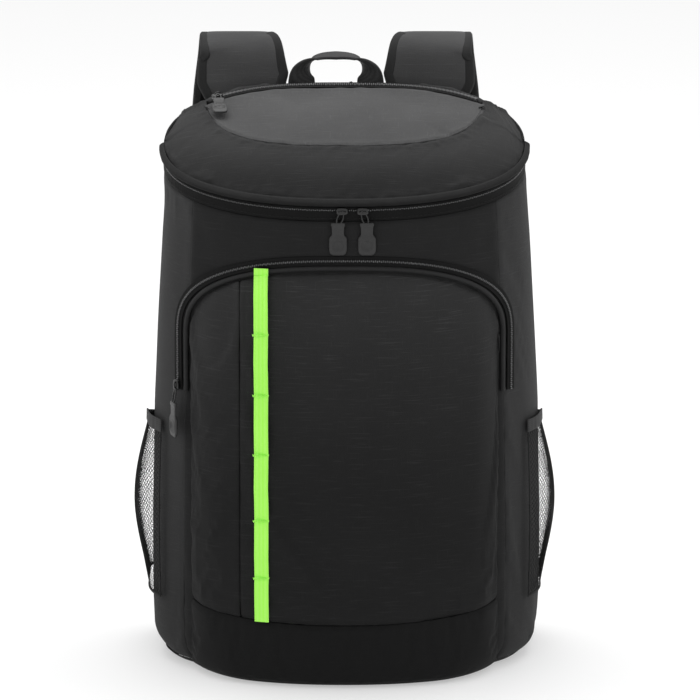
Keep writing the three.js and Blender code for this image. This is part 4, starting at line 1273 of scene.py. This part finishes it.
teethFace = body["frontDepth"] - opening["recess"] + 1.2
for word, side in pairs:
    at = np.array((pull["meet"] + side * pull["spacing"] / 2, -teethFace - body["gap"], opening["height"]))
    shell, bridge = sliderPiece(f"main_slide_{word}", at, (1, 0, 0), (0, 0, 1), (0, -1, 0))
    hold(shell, "slider_enamel", f"main_slider_{word}", parts=[bridge])
    height = opening["height"] - pull["slider"][1] / 2 - body["gap"] - pull["link"]
    depth = teethFace + body["gap"] + pull["thick"] / 2
    top = np.array((pull["meet"] + side * pull["hangSpacing"] / 2, -depth, height))
    grip = pullerPiece(
        f"main_grip_{word}", pull["length"], pull["width"], top, (1, 0, 0), (0, 1, 0), (0, 0, 1))
    lean = unit(at + np.array((0, -1.2, 0.5)) - top)
    foot = top + np.array((0, 0, -pull["overlap"]))
    loop = wireLoop(f"main_loop_{word}", foot, unit(np.cross((0, 1, 0), lean)), (0, 1, 0), lean, 10.5)
    hold(grip, "puller_plastic", f"main_puller_{word}", parts=[loop])

height = pocket["zipEnd"] + pull["slider"][0] / 2 + body["gap"]
out = facing(frontSurface, -pocket["zipSide"], height)
face = np.array((-pocket["zipSide"], frontSurface(-pocket["zipSide"], height), height))
face = face + out * (2 * body["gap"] + 2.8)
along = np.array((0, 0, 1.0))
shell, bridge = sliderPiece("pocket_slide", face, along, np.cross(out, along), out)
hold(shell, "slider_enamel", "pocket_slider", parts=[bridge])
turn = -1.2
sideways, through = np.array([(math.cos(turn), math.sin(turn), 0), (-math.sin(turn), math.cos(turn), 0)])
hang = face + out * 4
hang[2] = height - pull["slider"][0] / 2 - body["gap"] - pull["link"] - 3
grip = pullerPiece("pocket_grip", pull["small"], pull["width"], hang, sideways, through, (0, 0, 1))
foot = hang + np.array((0, 0, -pull["overlap"]))
loop = wireLoop("pocket_loop", foot, sideways, through, unit(face + out * 2 - hang), 12.5)
hold(grip, "puller_plastic", "pocket_puller", parts=[loop])

along = unit((1, 0.7, 0.7 * lid["seamSlope"]))
out = unit((0, -lid["seamSlope"], 1))
x = -lidHalf * 0.91
y = lidBackEdge(x) + lid["zipWidth"] / 2
top = np.array((x, y, lidHeightAt(y))) + out * (1.2 + body["gap"])
shell, bridge = sliderPiece("lid_slide", top, along, unit(np.cross(out, along)), out)
hold(shell, "slider_enamel", "lid_pocket_slider", parts=[bridge])
hang = unit((0.08, -1, -lid["seamSlope"]))
drop = pull["link"] + math.hypot(pull["slider"][0], pull["slider"][1]) / 2 + body["gap"]
start = top + hang * drop + out * (pull["thick"] / 2 + 1.2)
sideways = unit(np.cross(out, hang))
grip = pullerPiece("lid_grip", pull["length"], pull["width"] * 0.85, start, -sideways, -out, -hang)
loop = wireLoop("lid_loop", start + hang * pull["overlap"], sideways, out, -hang, 9.5)
hold(grip, "puller_plastic", "lid_pocket_puller", parts=[loop])
print("sliders made")

# Floor, light and camera
studio = {
    "aim": (0.0045, 0.0, 0.2528), "distance": 6.6, "elevation": 15, "lens": 414, "sky": 0.9, "floor": 0.52,
    "glow": 0.4, "floorHalf": 30, "lampAim": (0, 0, 0.3),
    "lamps": [  # name, place, size, power
        ("top", (0.0, 0.55, 2.1), (2.2, 1.4), 30), ("left", (-1.7, 0.25, 0.9), (1.0, 1.4), 5),
        ("right", (1.7, 0.25, 0.9), (1.0, 1.4), 5),
    ],
}
floorMesh = bpy.data.meshes.new("floor")
half = studio["floorHalf"]
corners = [(-half, -half, 0), (half, -half, 0), (half, half, 0), (-half, half, 0)]
floorMesh.from_pydata(corners, [], [(0, 1, 2, 3)])
floor = bpy.data.objects.new("floor", floorMesh)
bpy.context.collection.objects.link(floor)
floorPaint = Shader("floor", (studio["floor"],) * 3, 0.9, {
    "Specular IOR Level": 0.0, "Emission Color": (1, 1, 1, 1), "Emission Strength": studio["glow"],
})
floorMesh.materials.append(floorPaint.material)


def lookFrom(piece, place, aim):
    piece.location = place
    piece.rotation_euler = (Vector(aim) - Vector(place)).to_track_quat("-Z", "Y").to_euler()


for name, place, size, power in studio["lamps"]:
    lamp = bpy.data.lights.new(name, "AREA")
    lamp.shape, lamp.size, lamp.size_y, lamp.energy = "RECTANGLE", size[0], size[1], power
    holder = bpy.data.objects.new(name, lamp)
    bpy.context.collection.objects.link(holder)
    lookFrom(holder, place, studio["lampAim"])

world = bpy.data.worlds.new("studio")
world.use_nodes = True
world.node_tree.nodes["Background"].inputs["Color"].default_value = (1, 1, 1, 1)
world.node_tree.nodes["Background"].inputs["Strength"].default_value = studio["sky"]
bpy.context.scene.world = world
bpy.context.scene.view_settings.view_transform = "Standard"

camera = bpy.data.cameras.new("camera")
camera.lens, camera.sensor_width = studio["lens"], 36
eye = bpy.data.objects.new("camera", camera)
bpy.context.collection.objects.link(eye)
tilt = math.radians(studio["elevation"])
aim = Vector(studio["aim"])
lookFrom(eye, aim + Vector((0, -math.cos(tilt), math.sin(tilt))) * studio["distance"], aim)
bpy.context.scene.camera = eye

bpy.context.view_layer.update()
print("scene made")
